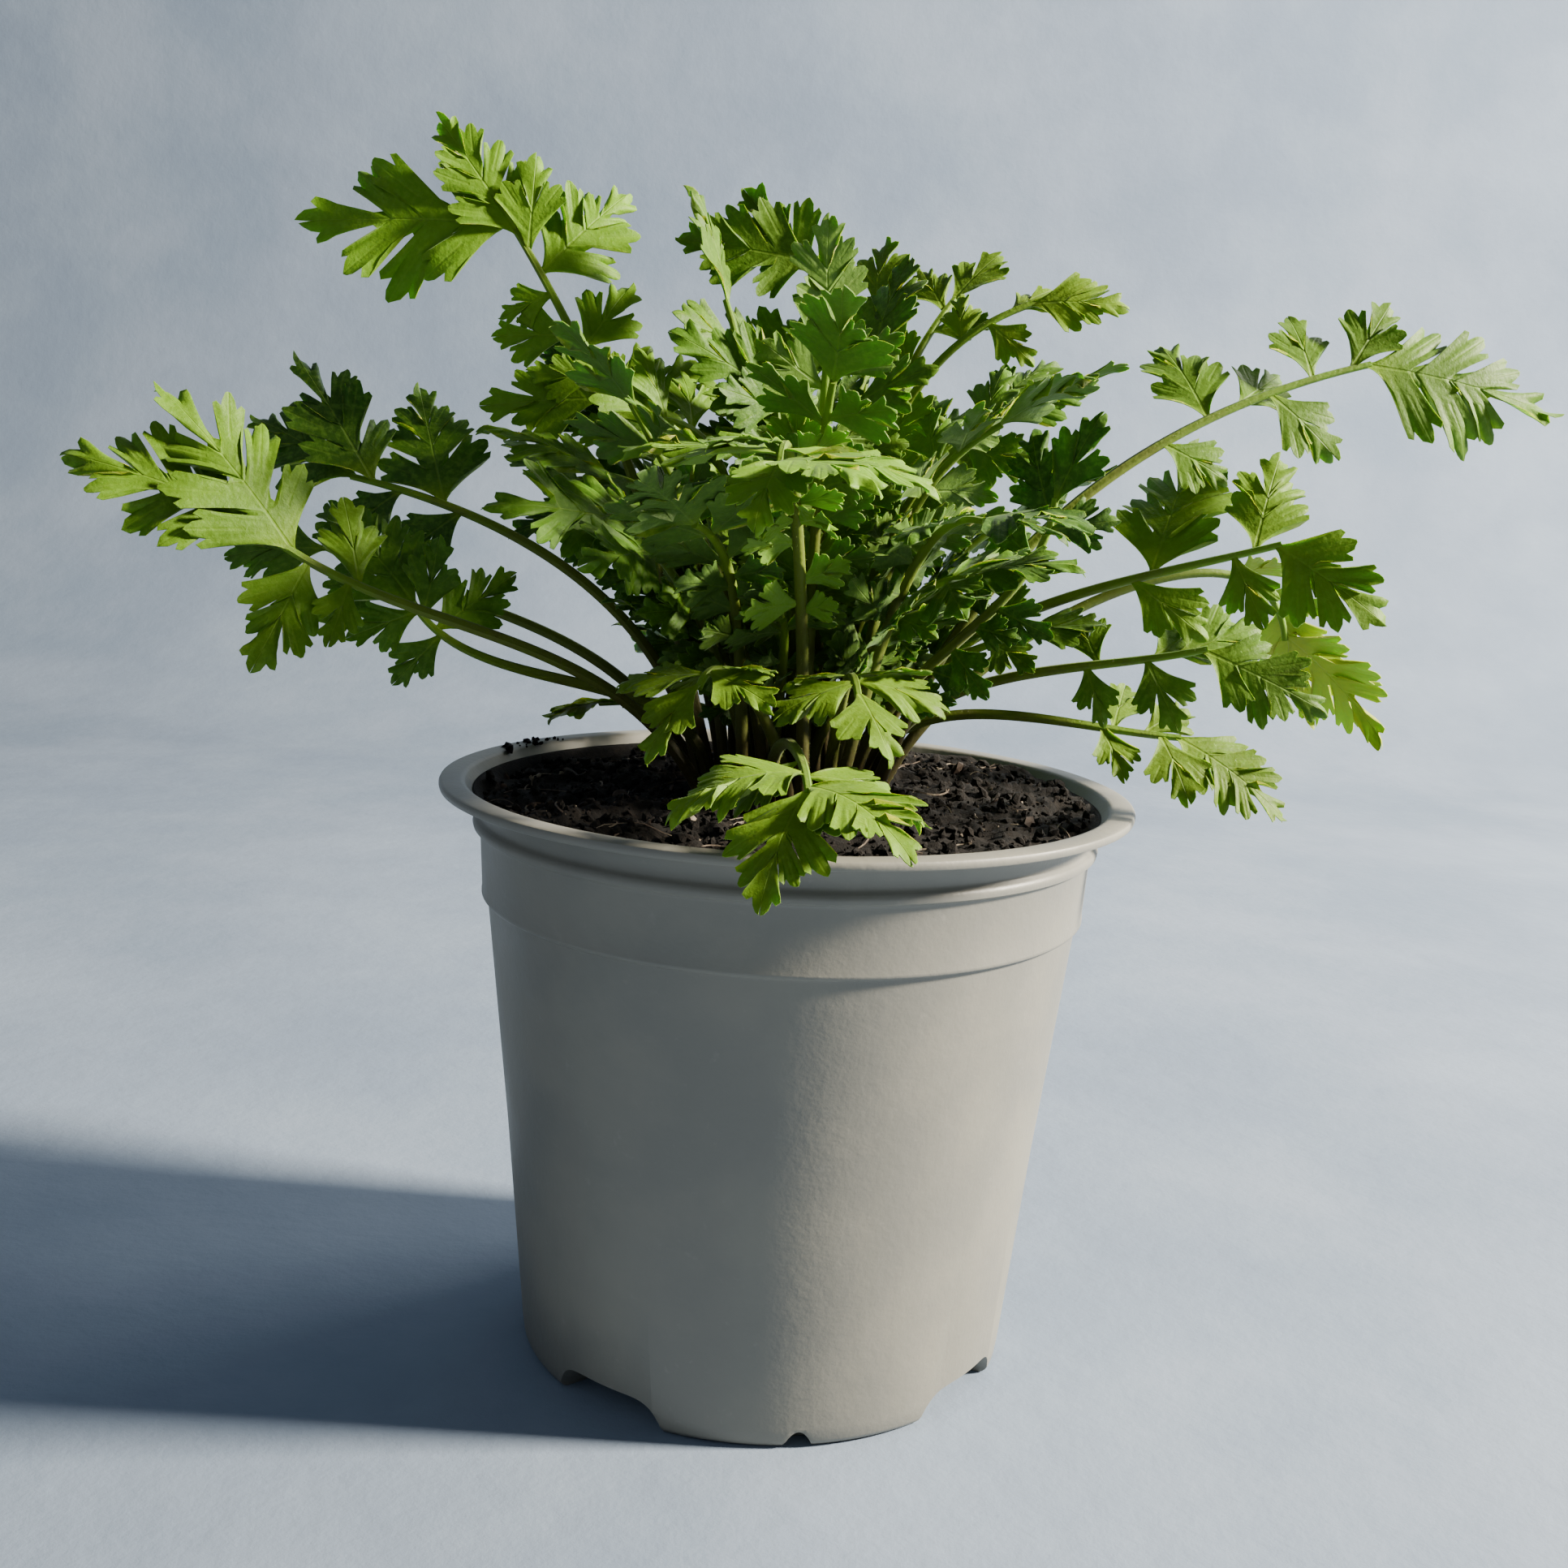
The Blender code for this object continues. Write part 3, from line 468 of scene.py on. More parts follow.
# Where the leaves stand
# All leaves rise from one crown in the middle of the pot, each on its own stalk. Their places,
# stalks and leaflets are those of the solids, laid out by the same rules: a stalk bends clear of
# the others, and a leaflet turns, lifts or stays small until it touches nothing.

# Each leaf: azimuth and reach of the place where its end leaflet starts, its height above the
# compost, the stalk's slope at the foot and at the end, the roll of the leaf about its rib, and
# its leaflets as (share of the stalk, length, angle from the rib).
LEAVES = {
    "near_left": (200, 99, 49.5, 60, 42, -65, (
        (1.0, 32, 8), (0.89, 36, -22), (0.86, 22, 92), (0.78, 13, 95), (0.76, 17, -60))),
    "upright_left": (192, 70, 34.5, 84, 60, -75, (
        (1.0, 25, -16), (0.97, 14, 60), (0.95, 15, -62), (0.90, 19, -105), (0.88, 13, 85))),
    "long_left": (176, 85, 55.5, 78, 10, -60, (
        (1.0, 28, -19), (0.95, 30, -40), (0.89, 15, 58), (0.80, 28, -56), (0.76, 16, 62))),
    "low_left": (170, 94, 41.5, 60, 22, -50, (
        (1.0, 22, 20), (0.91, 18, -40), (0.88, 14, 75), (0.77, 15, -60))),
    "tall_left": (172, 57, 103.5, 76, 55, -70, (
        (1.0, 40, 60), (0.97, 26, 6), (0.94, 18, -34), (0.90, 27, -72), (0.86, 11, 85),
        (0.78, 16, 62), (0.75, 18, -60), (0.66, 23, 70), (0.62, 22, -76))),
    "mid_left": (215, 36, 50.5, 78, 40, -50, (
        (1.0, 31, 36), (0.95, 14, -45), (0.88, 26, 58), (0.80, 22, -85))),
    "pale_left": (200, 30, 68.5, 82, -5, -60, (
        (1.0, 17, -14), (0.95, 14, -50), (0.90, 13, 45), (0.86, 15, -74), (0.78, 14, 60))),
    "dark_left": (165, 36, 64.5, 80, 45, -60, (
        (1.0, 27, 0), (0.94, 21, -52), (0.86, 17, 66), (0.78, 18, -66), (0.72, 16, 74))),
    "blue_left": (187, 37, 58.5, 80, 5, -20, (
        (1.0, 25, 0), (0.93, 17, -55), (0.90, 17, 50), (0.78, 15, -60))),
    "facing_left": (195, 6, 74.5, 87, 80, -70, (
        (1.0, 24, 55), (0.96, 15, 70), (0.93, 12, -35), (0.86, 16, 80))),
    "centre_tall": (95, 4, 76.5, 88, 86, 0, (
        (1.0, 20, 0), (0.93, 14, 48), (0.91, 14, -50), (0.82, 14, 60), (0.80, 13, -60))),
    "centre_young": (265, 15, 62.5, 86, 78, 0, (
        (1.0, 14, 0), (0.92, 10, 55), (0.90, 10, -55))),
    "top_centre": (92, 15, 100.5, 87, 88, 0, (
        (1.0, 26, 82), (0.97, 21, 40), (0.93, 12, -35), (0.84, 26, -72), (0.80, 22, 76))),
    "back_top": (70, 37, 94.5, 85, 80, 0, (
        (1.0, 17, 5), (0.94, 12, -42), (0.90, 14, 50), (0.80, 14, -55))),
    "back_right": (47, 41, 95.5, 84, 42, 15, (
        (1.0, 16, -10), (0.96, 13, 50), (0.90, 13, -60), (0.80, 15, 60))),
    "back_right_high": (25, 47, 94.5, 82, 20, 35, (
        (1.0, 19, -35), (0.95, 12, 20), (0.90, 13, -75), (0.84, 12, 60))),
    "right_cluster": (0, 36, 72.5, 82, 30, 50, (
        (1.0, 17, -15), (0.94, 15, 42), (0.88, 15, -65), (0.80, 15, 65))),
    "high_right": (4, 104, 85.5, 74, 15, 65, (
        (1.0, 39, -30), (0.97, 17, 38), (0.91, 16, 80), (0.84, 18, -65), (0.79, 17, 20),
        (0.74, 23, 82), (0.66, 15, -60))),
    "low_right": (350, 86, 52.5, 80, 18, 60, (
        (1.0, 24, -50), (0.95, 23, 68), (0.91, 15, -80), (0.76, 37, 68), (0.72, 18, -62))),
    "dark_right": (340, 47, 58.5, 85, 88, 75, (
        (1.0, 18, -4), (0.94, 19, 42), (0.91, 13, -58), (0.82, 14, 66))),
    "mid_right": (348, 75, 33.5, 82, 17, 60, (
        (1.0, 25, -34), (0.93, 17, 20), (0.87, 22, 40), (0.85, 15, -74), (0.74, 13, 105),
        (0.71, 12, -80))),
    "flat_right": (352, 72, 16.5, 80, 0, 40, (
        (1.0, 25, -26), (0.94, 17, -68), (0.90, 13, 50), (0.82, 16, 84), (0.79, 12, -62))),
    "back_hanging": (12, 99, 32.5, 66, -80, -40, (
        (1.0, 30, -16), (0.92, 30, 18), (0.86, 13, -52), (0.76, 14, -75))),
    "right_front": (316, 40, 44.5, 76, 5, 30, (
        (1.0, 22, 10), (0.93, 17, 55), (0.91, 17, -52), (0.78, 15, 62), (0.76, 15, -62))),
    "front": (266, 55, 61.5, 84, -46, 0, (
        (1.0, 19, -4), (0.98, 24, 46), (0.95, 28, -94), (0.93, 26, 90), (0.88, 15, -48))),
    "front_left": (247, 40, 24.5, 74, -55, 0, (
        (1.0, 18, -6), (0.90, 17, -72), (0.88, 16, 74), (0.74, 14, -76), (0.72, 13, 76))),
    "front_right": (286, 40, 24.5, 74, -55, 0, (
        (1.0, 18, 8), (0.90, 16, -70), (0.88, 17, 72), (0.74, 13, -76), (0.72, 14, 74))),
    "over_rim": (273, 63, 12.5, 66, -18, 0, (
        (1.0, 26, -22), (0.96, 26, 34), (0.89, 22, 82), (0.87, 25, -74), (0.76, 15, -66))),
    "back_left_low": (142, 50, 11.5, 74, -10, 0, (
        (1.0, 17, 0), (0.90, 14, 62), (0.88, 14, -62))),
}

# Leaves that fill the crown between the ones above, in rings: how many, first azimuth, step in
# azimuth, reach, height, slope at the foot, slope at the end, length of the end leaflet, and
# number of leaflets
RINGS = {
    "inner": (3, 40, 120, 17, 86, 88, 70, 21, 5),
    "upper": (6, 215, 60, 36, 72, 84, 40, 23, 5),
    "middle": (5, 245, 68, 44, 52, 80, 15, 23, 5),
    "lower": (2, 62, 60, 56, 22, 74, -5, 21, 5),
    "short": (6, 20, 60, 24, 34, 82, 30, 16, 3),
    "young": (3, 350, 62, 40, 34, 74, 10, 17, 3),
}
RING_LEAFLETS = (
    (1.0, 1.0, 0), (0.89, 0.80, 54), (0.87, 0.80, -54), (0.74, 0.68, 62), (0.72, 0.68, -62))

STALK_RADIUS = 1.4
STALK_END_RADIUS = 1.1
STALK_STEPS = (0.0, 0.13, 0.32, 0.54, 0.77, 1.0)
STALK_UPRIGHT = 2.4
STALK_CLEARANCE = 0.4
SEAT_SPACING = 2.35
SEAT_SPREAD = 0.18
SPARE_SEATS = 14
SEATS_TRIED = 8
GOLDEN_ANGLE = 137.508
BEND_START = 0.40
BEND_END = 0.35
SWINGS = (0, 2, -2, 4, -4, 6, -6, 9, -9, 12, -12, 16, -16)
BLADE = 0.64
BASE_WIDTH = 0.42
END_SUNK = 1.0
RIM_CURL = 0.006
LEAF_CLEARANCE = 0.35
SHORTEST_LEAFLET = 7.0
LEAFLET_LENGTHS = (18.5, 24.5, 30.0)
# turn in the leaf's plane, lift out of it, and share of the length that a crowded leaflet takes
ESCAPES = (
    (0, 0, 1.0), (10, 0, 1.0), (-10, 0, 1.0), (0, 14, 1.0), (0, -14, 1.0), (10, 14, 1.0),
    (-10, 14, 1.0), (10, -14, 1.0), (-10, -14, 1.0), (22, 0, 0.95), (-22, 0, 0.95),
    (0, 30, 0.95), (0, -30, 0.95), (22, 25, 0.9), (-22, 25, 0.9), (22, -25, 0.9),
    (-22, -25, 0.9), (0, 48, 0.85), (0, -48, 0.85), (38, 0, 0.8), (-38, 0, 0.8),
    (30, 45, 0.75), (-30, 45, 0.75), (30, -45, 0.75), (-30, -45, 0.75), (0, 0, 0.65),
    (0, 40, 0.6), (0, -40, 0.6), (35, 60, 0.6), (-35, -60, 0.6), (0, 0, 0.45),
)
# outline of one half of a leaflet, as shares of its length, for each length class
SMALL_OUTLINE = ((0.34, 0.14), (0.70, 0.34), (0.77, 0.15))
THREE_OUTLINE = ((0.46, 0.34), (0.51, 0.15), (0.73, 0.29), (0.79, 0.12))
FIVE_OUTLINE = ((0.40, 0.33), (0.45, 0.13), (0.63, 0.31), (0.68, 0.12), (0.80, 0.20), (0.85, 0.09))
SEVEN_OUTLINE = (
    (0.29, 0.26), (0.33, 0.10), (0.52, 0.30), (0.56, 0.11), (0.70, 0.25), (0.74, 0.09),
    (0.83, 0.16), (0.87, 0.07))
OUTLINES = (SMALL_OUTLINE, THREE_OUTLINE, FIVE_OUTLINE, SEVEN_OUTLINE)
# how far a leaflet arches and is raised out of its leaf, in degrees
DROOP = (14, 34)
RIM_DROOP = (45, 60)
LIFT = (-6, 8)
# a small leaflet of even form, for the lower pairs
EVEN_LOBES = tuple((place, (width, width)) for place, width in SMALL_OUTLINE)

draw = np.random.default_rng(7)
for ring, values in RINGS.items():
    count, first, step, reach, height, foot_slope, end_slope, size, number = values
    for k in range(count):
        azimuth = first + step * k + draw.uniform(-8, 8)
        leaflets = tuple(
            (share, size * part * draw.uniform(0.9, 1.1), angle + draw.uniform(-7, 7))
            for share, part, angle in RING_LEAFLETS[:number])
        LEAVES[f"{ring}_{k + 1}"] = (
            azimuth % 360, reach * draw.uniform(0.9, 1.1), height * draw.uniform(0.93, 1.07),
            foot_slope, end_slope + draw.uniform(-28, 14), draw.uniform(-35, 35), leaflets)


def unit(vector):
    return vector / np.linalg.norm(vector)


def heading(azimuth):
    return np.array((math.cos(math.radians(azimuth)), math.sin(math.radians(azimuth)), 0.0))


def stalk_curve(foot, leaf, swing, shares):
    """Points on a stalk's centre line, at shares of it from the compost to its end leaflet."""
    azimuth, reach, height, foot_slope, end_slope = leaf[:5]
    out, upright = heading(azimuth), np.array((0.0, 0.0, 1.0))
    side = np.array((-out[1], out[0], 0.0))
    start = foot + upright * (SOIL_HEIGHT + STALK_UPRIGHT)
    end = reach * out + upright * (SOIL_HEIGHT + height)
    span = np.linalg.norm(end - start)
    rise, nod = math.radians(foot_slope), math.radians(end_slope)
    first = start + BEND_START * span * (math.cos(rise) * out + math.sin(rise) * upright)
    last = end - BEND_END * span * (math.cos(nod) * out + math.sin(nod) * upright)
    return np.array([
        (1 - t) ** 3 * start + 3 * (1 - t) ** 2 * t * first + 3 * (1 - t) * t * t * last
        + t ** 3 * end + swing * math.sin(math.pi * t) * side
        for t in shares])


def on_route(route, share):
    """Point and direction at a share of the steps of a stalk's route."""
    place = np.interp(share, STALK_STEPS, range(len(STALK_STEPS)))
    step = min(int(place), len(route) - 2)
    point = route[step] + (place - step) * (route[step + 1] - route[step])
    before = unit(route[step] - route[step - 1]) if step else unit(route[1] - route[0])
    here = unit(route[step + 1] - route[step])
    after = unit(route[step + 2] - route[step + 1]) if step + 2 < len(route) else here
    blend = place - step
    if blend < 0.5:
        return point, unit((0.5 - blend) * before + (0.5 + blend) * here)
    return point, unit((1.5 - blend) * here + (blend - 0.5) * after)


def dense(route):
    """Points a millimetre or less apart along the route, with the stalk's radius at each."""
    shares = np.linspace(0, 1, 140)
    places = np.interp(shares, STALK_STEPS, range(len(STALK_STEPS)))
    steps = np.minimum(places.astype(int), len(route) - 2)
    part = (places - steps)[:, None]
    radii = STALK_RADIUS + shares * (STALK_END_RADIUS - STALK_RADIUS)
    return route[steps] * (1 - part) + route[steps + 1] * part, radii


free = [
    SEAT_SPACING * math.sqrt(k + 0.5) * heading(k * GOLDEN_ANGLE)
    for k in range(len(LEAVES) + SPARE_SEATS)]
outermost = np.linalg.norm(free[-1])
routes, feet, swings, laid = {}, {}, {}, []
for name in sorted(LEAVES, key=lambda name: LEAVES[name][1]):
    wanted = min(SEAT_SPREAD * LEAVES[name][1], outermost) * heading(LEAVES[name][0])
    nearest = sorted(range(len(free)), key=lambda k: np.linalg.norm(free[k] - wanted))
    best = None
    for swing, seat in itertools.product(SWINGS, nearest[:SEATS_TRIED]):
        route = stalk_curve(free[seat], LEAVES[name], swing, STALK_STEPS)
        points, radii = dense(route)
        margin = STALK_CLEARANCE
        for other, others in laid:
            apart = np.linalg.norm(points[:, None] - other[None], axis=2)
            margin = min(margin, (apart - radii[:, None] - others[None]).min())
        if best is None or margin > best[0]:
            best = (margin, route, points, radii, seat, swing)
        if margin >= STALK_CLEARANCE:
            break
    routes[name], swings[name] = best[1], best[5]
    laid.append(best[2:4])
    feet[name] = free.pop(best[4])


def leaf_frame(along, azimuth, roll):
    """Directions at a place on the rib: to the leaf's left, and out of its upper face."""
    flat = np.array((-math.sin(math.radians(azimuth)), math.cos(math.radians(azimuth)), 0.0))
    flat = unit(flat - along * np.dot(flat, along))
    upright = np.cross(along, flat)
    left = math.cos(math.radians(roll)) * flat + math.sin(math.radians(roll)) * upright
    return left, np.cross(along, left)


def plain_stalk(route, extra, azimuth, roll):
    """Points and faces of a three-sided stalk, to keep leaflets clear of it."""
    points, faces = [], []
    for k, centre in enumerate(route):
        along = unit(route[min(k + 1, len(route) - 1)] - route[max(k - 1, 0)])
        left, face = leaf_frame(along, azimuth, roll)
        radius = STALK_RADIUS + STALK_STEPS[k] * (STALK_END_RADIUS - STALK_RADIUS) + extra
        for n in range(3):
            turn = 2 * math.pi * n / 3
            points.append(centre + radius * (math.cos(turn) * left + math.sin(turn) * face))
            if k:
                m = (n + 1) % 3
                faces.append((3 * k - 3 + n, 3 * k - 3 + m, 3 * k + m, 3 * k + n))
    return np.array(points), faces + [(2, 1, 0), (3 * k, 3 * k + 1, 3 * k + 2)]


def pose_leaflet(base, along, left, face, angle, lift):
    """A leaflet's own directions: ahead along its midrib, to its side, and out of its face."""
    turn, raised = math.radians(angle), math.radians(lift)
    flat = math.cos(turn) * along + math.sin(turn) * left
    side = math.cos(turn) * left - math.sin(turn) * along
    forward = math.cos(raised) * flat + math.sin(raised) * face
    return base, forward, side, math.cos(raised) * face - math.sin(raised) * flat


def arched(pose, length, droop, share, aside):
    """Point and face direction at a place on a leaflet that arches along its midrib."""
    base, forward, side, normal = pose
    arch = math.radians(droop)
    bent = arch * np.asarray(share)[..., None]
    aside = np.asarray(aside)[..., None]
    skin = np.cos(bent) * normal + np.sin(bent) * forward
    centre = base + length / arch * (np.sin(bent) * forward - (1 - np.cos(bent)) * normal)
    return centre + aside * side - RIM_CURL * aside * aside * skin, skin


def plain_leaflet(pose, length, droop, lobes, thickness):
    """Points and faces of a leaflet's plain solid, to keep others clear of it."""
    stations = ((0.0, (BASE_WIDTH / length,) * 2),) + lobes + ((1.0, (0.0,)),)
    shares = [share for share, widths in stations for width in widths]
    asides = [
        (-1) ** n * width * length for share, widths in stations for n, width in enumerate(widths)]
    places, skins = arched(pose, length, droop, shares, asides)
    points = np.empty((2 * len(places), 3))
    points[0::2] = places + skins * thickness / 2
    points[1::2] = places - skins * thickness / 2
    faces = [(0, 1, 3), (0, 3, 2)]
    last = len(stations) - 2
    for k in range(last):
        a, b = 4 * k, 4 * (k + 1)
        faces += [(a, a + 2, b + 2), (a, b + 2, b), (a + 1, b + 3, a + 3), (a + 1, b + 1, b + 3)]
        faces += [(a, b, b + 1), (a, b + 1, a + 1), (a + 2, a + 3, b + 3), (a + 2, b + 3, b + 2)]
    a, end = 4 * last, len(points) - 2
    faces += [(a, a + 2, end), (a + 1, end + 1, a + 3), (a, end, end + 1), (a, end + 1, a + 1)]
    return points, faces + [(a + 2, a + 3, end + 1), (a + 2, end + 1, end)]


def outer_part(points, faces):
    """The leaflet without its first stretch, which runs inside the stalk."""
    return points[4:], [tuple(c - 4 for c in face) for face in faces if min(face) > 3]


class Obstacle:
    """A placed form that others keep clear of, with a thicker copy that holds its clearance."""

    def __init__(self, solid, thick):
        self.tree = BVHTree.FromPolygons(solid[0].tolist(), solid[1])
        self.thick = BVHTree.FromPolygons(thick[0].tolist(), thick[1])
        self.low, self.high = thick[0].min(axis=0), thick[0].max(axis=0)

    def near(self, other):
        if (self.low > other.high).any() or (other.low > self.high).any():
            return False
        return bool(self.tree.overlap(other.thick) or self.thick.overlap(other.tree))


# A turned skin about a millimetre outside the pot and above the compost.
SKIN_SIDES = 24
pot_skin = (
    (0.0, SOIL_HEIGHT + 3.5), (52.0, SOIL_HEIGHT + 3.5), (58.8, POT_HEIGHT + 0.9),
    (RIM_RADIUS + 0.9, POT_HEIGHT + 0.9), (RIM_RADIUS + 0.9, POT_HEIGHT - 4.0),
    (58.5, 100.3), (BASE_RADIUS + 1.0, 0.0))
skin_points = np.array([
    (*(radius * heading(360 * k / SKIN_SIDES))[:2], height)
    for radius, height in pot_skin for k in range(SKIN_SIDES)])
skin_rows = np.arange(len(skin_points)).reshape(len(pot_skin), SKIN_SIDES)
skin_faces = [
    (int(upper[k]), int(lower[k]), int(lower[k - SKIN_SIDES + 1]), int(upper[k - SKIN_SIDES + 1]))
    for upper, lower in zip(skin_rows, skin_rows[1:]) for k in range(SKIN_SIDES)]
pot_form = Obstacle((skin_points, skin_faces), (skin_points, skin_faces))
stalk_forms = {
    name: Obstacle(
        plain_stalk(route, 0.0, LEAVES[name][0], LEAVES[name][5]),
        plain_stalk(route, 2 * LEAF_CLEARANCE, LEAVES[name][0], LEAVES[name][5]))
    for name, route in routes.items()}


def is_clear(name, whole, outer):
    """True where a leaflet of the named leaf touches no other leaflet, stalk or pot."""
    if whole.near(pot_form):
        return False
    if any((outer if owner == name else whole).near(form) for owner, form in stalk_forms.items()):
        return False
    for owner, other, other_outer in placed:
        if owner != name and whole.near(other):
            return False
        if owner == name and (outer.near(other) or whole.near(other_outer)):
            return False
    return True


def place_leaflet(name, share, length, angle, lobes, droop, lift, escapes):
    """Puts a leaflet on its leaf in the first pose where it touches nothing."""
    base, along = on_route(routes[name], share)
    if share == 1.0:
        base = base - END_SUNK * along
    left, face = leaf_frame(along, LEAVES[name][0], LEAVES[name][5])
    for turn, raised, size in escapes:
        if length * size < SHORTEST_LEAFLET:
            continue
        pose = pose_leaflet(base, along, left, face, angle + turn, lift + raised)
        blade = plain_leaflet(pose, length * size, droop, lobes, BLADE)
        thick = plain_leaflet(pose, length * size, droop, lobes, BLADE + 2 * LEAF_CLEARANCE)
        whole = Obstacle(blade, thick)
        outer = Obstacle(outer_part(*blade), outer_part(*thick))
        if is_clear(name, whole, outer):
            placed.append((name, whole, outer))
            leaflet_plans[name].append((share, pose, length * size, length, droop))
            return


placed = []
leaflet_plans = {name: [] for name in LEAVES}
draw = np.random.default_rng(100)
wanted_leaflets = [(name, leaf[6][0]) for name, leaf in LEAVES.items()]
wanted_leaflets += [(name, wanted) for name, leaf in LEAVES.items() for wanted in leaf[6][1:]]
for name, (share, length, angle) in wanted_leaflets:
    outline = OUTLINES[sum(length >= limit for limit in LEAFLET_LENGTHS)]
    lobes = tuple(
        (place, (width * draw.uniform(0.88, 1.12), width * draw.uniform(0.88, 1.12)))
        for place, width in outline)
    droop = draw.uniform(*(RIM_DROOP if name == "over_rim" else DROOP))
    lift = draw.uniform(*LIFT)
    place_leaflet(name, share, length, angle, lobes, droop, lift, ESCAPES)

# The smallest leaflets, lower on the stalks of the leaves that stand in the middle of the
# crown. The solids leave them out.
MIDDLE_REACH = 60.0
LOWER_SHARES = (0.66, 0.58, 0.50, 0.42, 0.34)
LOWEST_PLACE = SOIL_HEIGHT + 9.0
LOWER_LENGTHS = (9.0, 14.0)
LOWER_ANGLES = (48, 78)
LOWER_LIFT = (-25, 25)
LOWER_ESCAPES = ESCAPES[:20]
LOW_LEAVES = ("over_rim", "front_left", "front_right", "back_left_low")
draw = np.random.default_rng(300)
for share, (name, leaf) in itertools.product(LOWER_SHARES, LEAVES.items()):
    if leaf[1] > MIDDLE_REACH or name in LOW_LEAVES:
        continue
    spot = share * draw.uniform(0.95, 1.05)
    if on_route(routes[name], spot)[0][2] < LOWEST_PLACE:
        continue
    for side in (1, -1):
        length = draw.uniform(*LOWER_LENGTHS) * (0.7 + 0.6 * share)
        place_leaflet(
            name, spot + 0.02 * side, length, side * draw.uniform(*LOWER_ANGLES), EVEN_LOBES,
            draw.uniform(*DROOP), draw.uniform(*LOWER_LIFT), LOWER_ESCAPES)

# Leaves
# Each leaf is a grooved stalk with a few pairs of leaflets and one at its end. A leaflet is a
# thin matt blade, cut into forward lobes with blunt teeth, folded a little along its midrib and
# waved at its edge, with short pale hairs. Young outer leaves are paler than the inner ones. The
# leaves deep in the crown and those that sit in shade are painted darker, as painted shade, and
# the front leaf's pale green is partly painted light.

BLADE_THICK = 0.34
EDGE_THICK = 0.18
HAIR_LENGTH = (0.2, 0.45)
HAIR_RADIUS = 0.02
HAIRS_PER_MM = 1.1
STALK_HAIRS_PER_MM = 0.7
# twist along the midrib, fold at it, number and height of the waves of the edge, and how far
# each lobe is cupped
TWIST = (-0.12, 0.12)
FOLD = (0.04, 0.26)
WAVES = (1.4, 2.8)
WAVE_HEIGHT = 0.022
CUP = (-0.1, 0.9)
# the fine stalk: rings along it, corners of a ring, depth in the compost, its radius at shares
# of its length, the channel along its upper side, and the flutes round it
STALK_RINGS = 44
STALK_CORNERS = 12
STALK_ROOTED = 3.0
STALK_TAPER = ((-0.03, 0.0, 0.08, 0.6, 1.0), (1.55, 1.4, 1.15, 0.95, 0.62))
CHANNEL_DEPTH = 0.30
CHANNEL_WIDTH = 0.42
FLUTES = 5
FLUTE_DEPTH = 0.05
SHARP_EDGE = math.radians(55)
# distance to a vein, in millimetres, that is given to what has none
NO_VEIN = 9.0
# Lobes of one half of a leaflet for each length class, as shares of its length: where the
# lobe's vein leaves the midrib, the vein's angle, the lobe's reach and its half width. Then the
# start and half width of the end lobe, and how far the notches leave the lobes joined.
LOBE_PLANS = (
    (((0.30, 40, 0.50, 0.140),), (0.50, 0.165), 0.58),
    (((0.20, 47, 0.46, 0.118), (0.42, 36, 0.40, 0.100)), (0.60, 0.135), 0.52),
    (((0.16, 50, 0.44, 0.097), (0.36, 43, 0.42, 0.094), (0.54, 36, 0.32, 0.078)),
        (0.68, 0.104), 0.34),
    (((0.12, 51, 0.40, 0.080), (0.30, 45, 0.42, 0.084), (0.48, 38, 0.36, 0.074)),
        (0.63, 0.088), 0.21),
)
# Outline of a lobe with its three blunt teeth: along its vein, and to the side across it, from
# the leaflet's base towards its tip.
LOBE_OUTLINE = (
    (0.30, -0.62), (0.55, -0.80), (0.70, -1.02), (0.80, -1.14), (0.85, -0.86), (0.77, -0.54),
    (0.90, -0.42), (0.97, -0.20), (1.00, 0.0), (0.97, 0.20), (0.90, 0.42), (0.78, 0.54),
    (0.88, 0.84), (0.83, 1.08), (0.72, 0.98), (0.56, 0.78), (0.32, 0.60))
END_OUTLINE = (
    (0.28, 0.60), (0.48, 0.80), (0.62, 1.02), (0.73, 1.10), (0.77, 0.82), (0.71, 0.54),
    (0.86, 0.44), (0.96, 0.22), (1.00, 0.02))
WEDGE_STEPS = 6
# tone from dark 0 to pale 1, and yellowing from 0 to 1. A low tone is partly painted shade, on
# the leaves that sit in shade, and the front leaf's high tone is partly painted light.
LEAF_TONES_AND_SHADE = {
    "near_left": (0.38, 0.06), "upright_left": (0.4, 0.0), "long_left": (0.12, 0.0),
    "low_left": (0.2, 0.0), "tall_left": (0.8, 0.05), "mid_left": (0.45, 0.0),
    "pale_left": (0.75, 0.05), "dark_left": (0.05, 0.0), "blue_left": (0.3, 0.0),
    "facing_left": (0.2, 0.0), "centre_tall": (0.2, 0.0), "centre_young": (0.6, 0.15),
    "top_centre": (0.4, 0.05), "back_top": (0.5, 0.1), "back_right": (0.45, 0.1),
    "back_right_high": (0.5, 0.15), "high_right": (0.45, 0.05), "low_right": (0.55, 0.1),
    "mid_right": (0.45, 0.05), "right_cluster": (0.45, 0.0), "dark_right": (0.1, 0.0),
    "flat_right": (0.35, 0.12), "back_hanging": (0.8, 0.95), "right_front": (0.4, 0.0),
    "front": (0.95, 0.05), "front_left": (0.5, 0.1), "front_right": (0.4, 0.1),
    "over_rim": (0.55, 0.1), "back_left_low": (0.7, 0.3),
}
# the crown's middle, lower and short rings get near-black tones: painted shade deep in the crown
RING_TONES_AND_SHADE = {
    "inner": (0.2, 0.04), "upper": (0.2, 0.02), "middle": (0.04, 0.0), "lower": (0.02, 0.0),
    "short": (0.0, 0.0), "young": (0.2, 0.04),
}


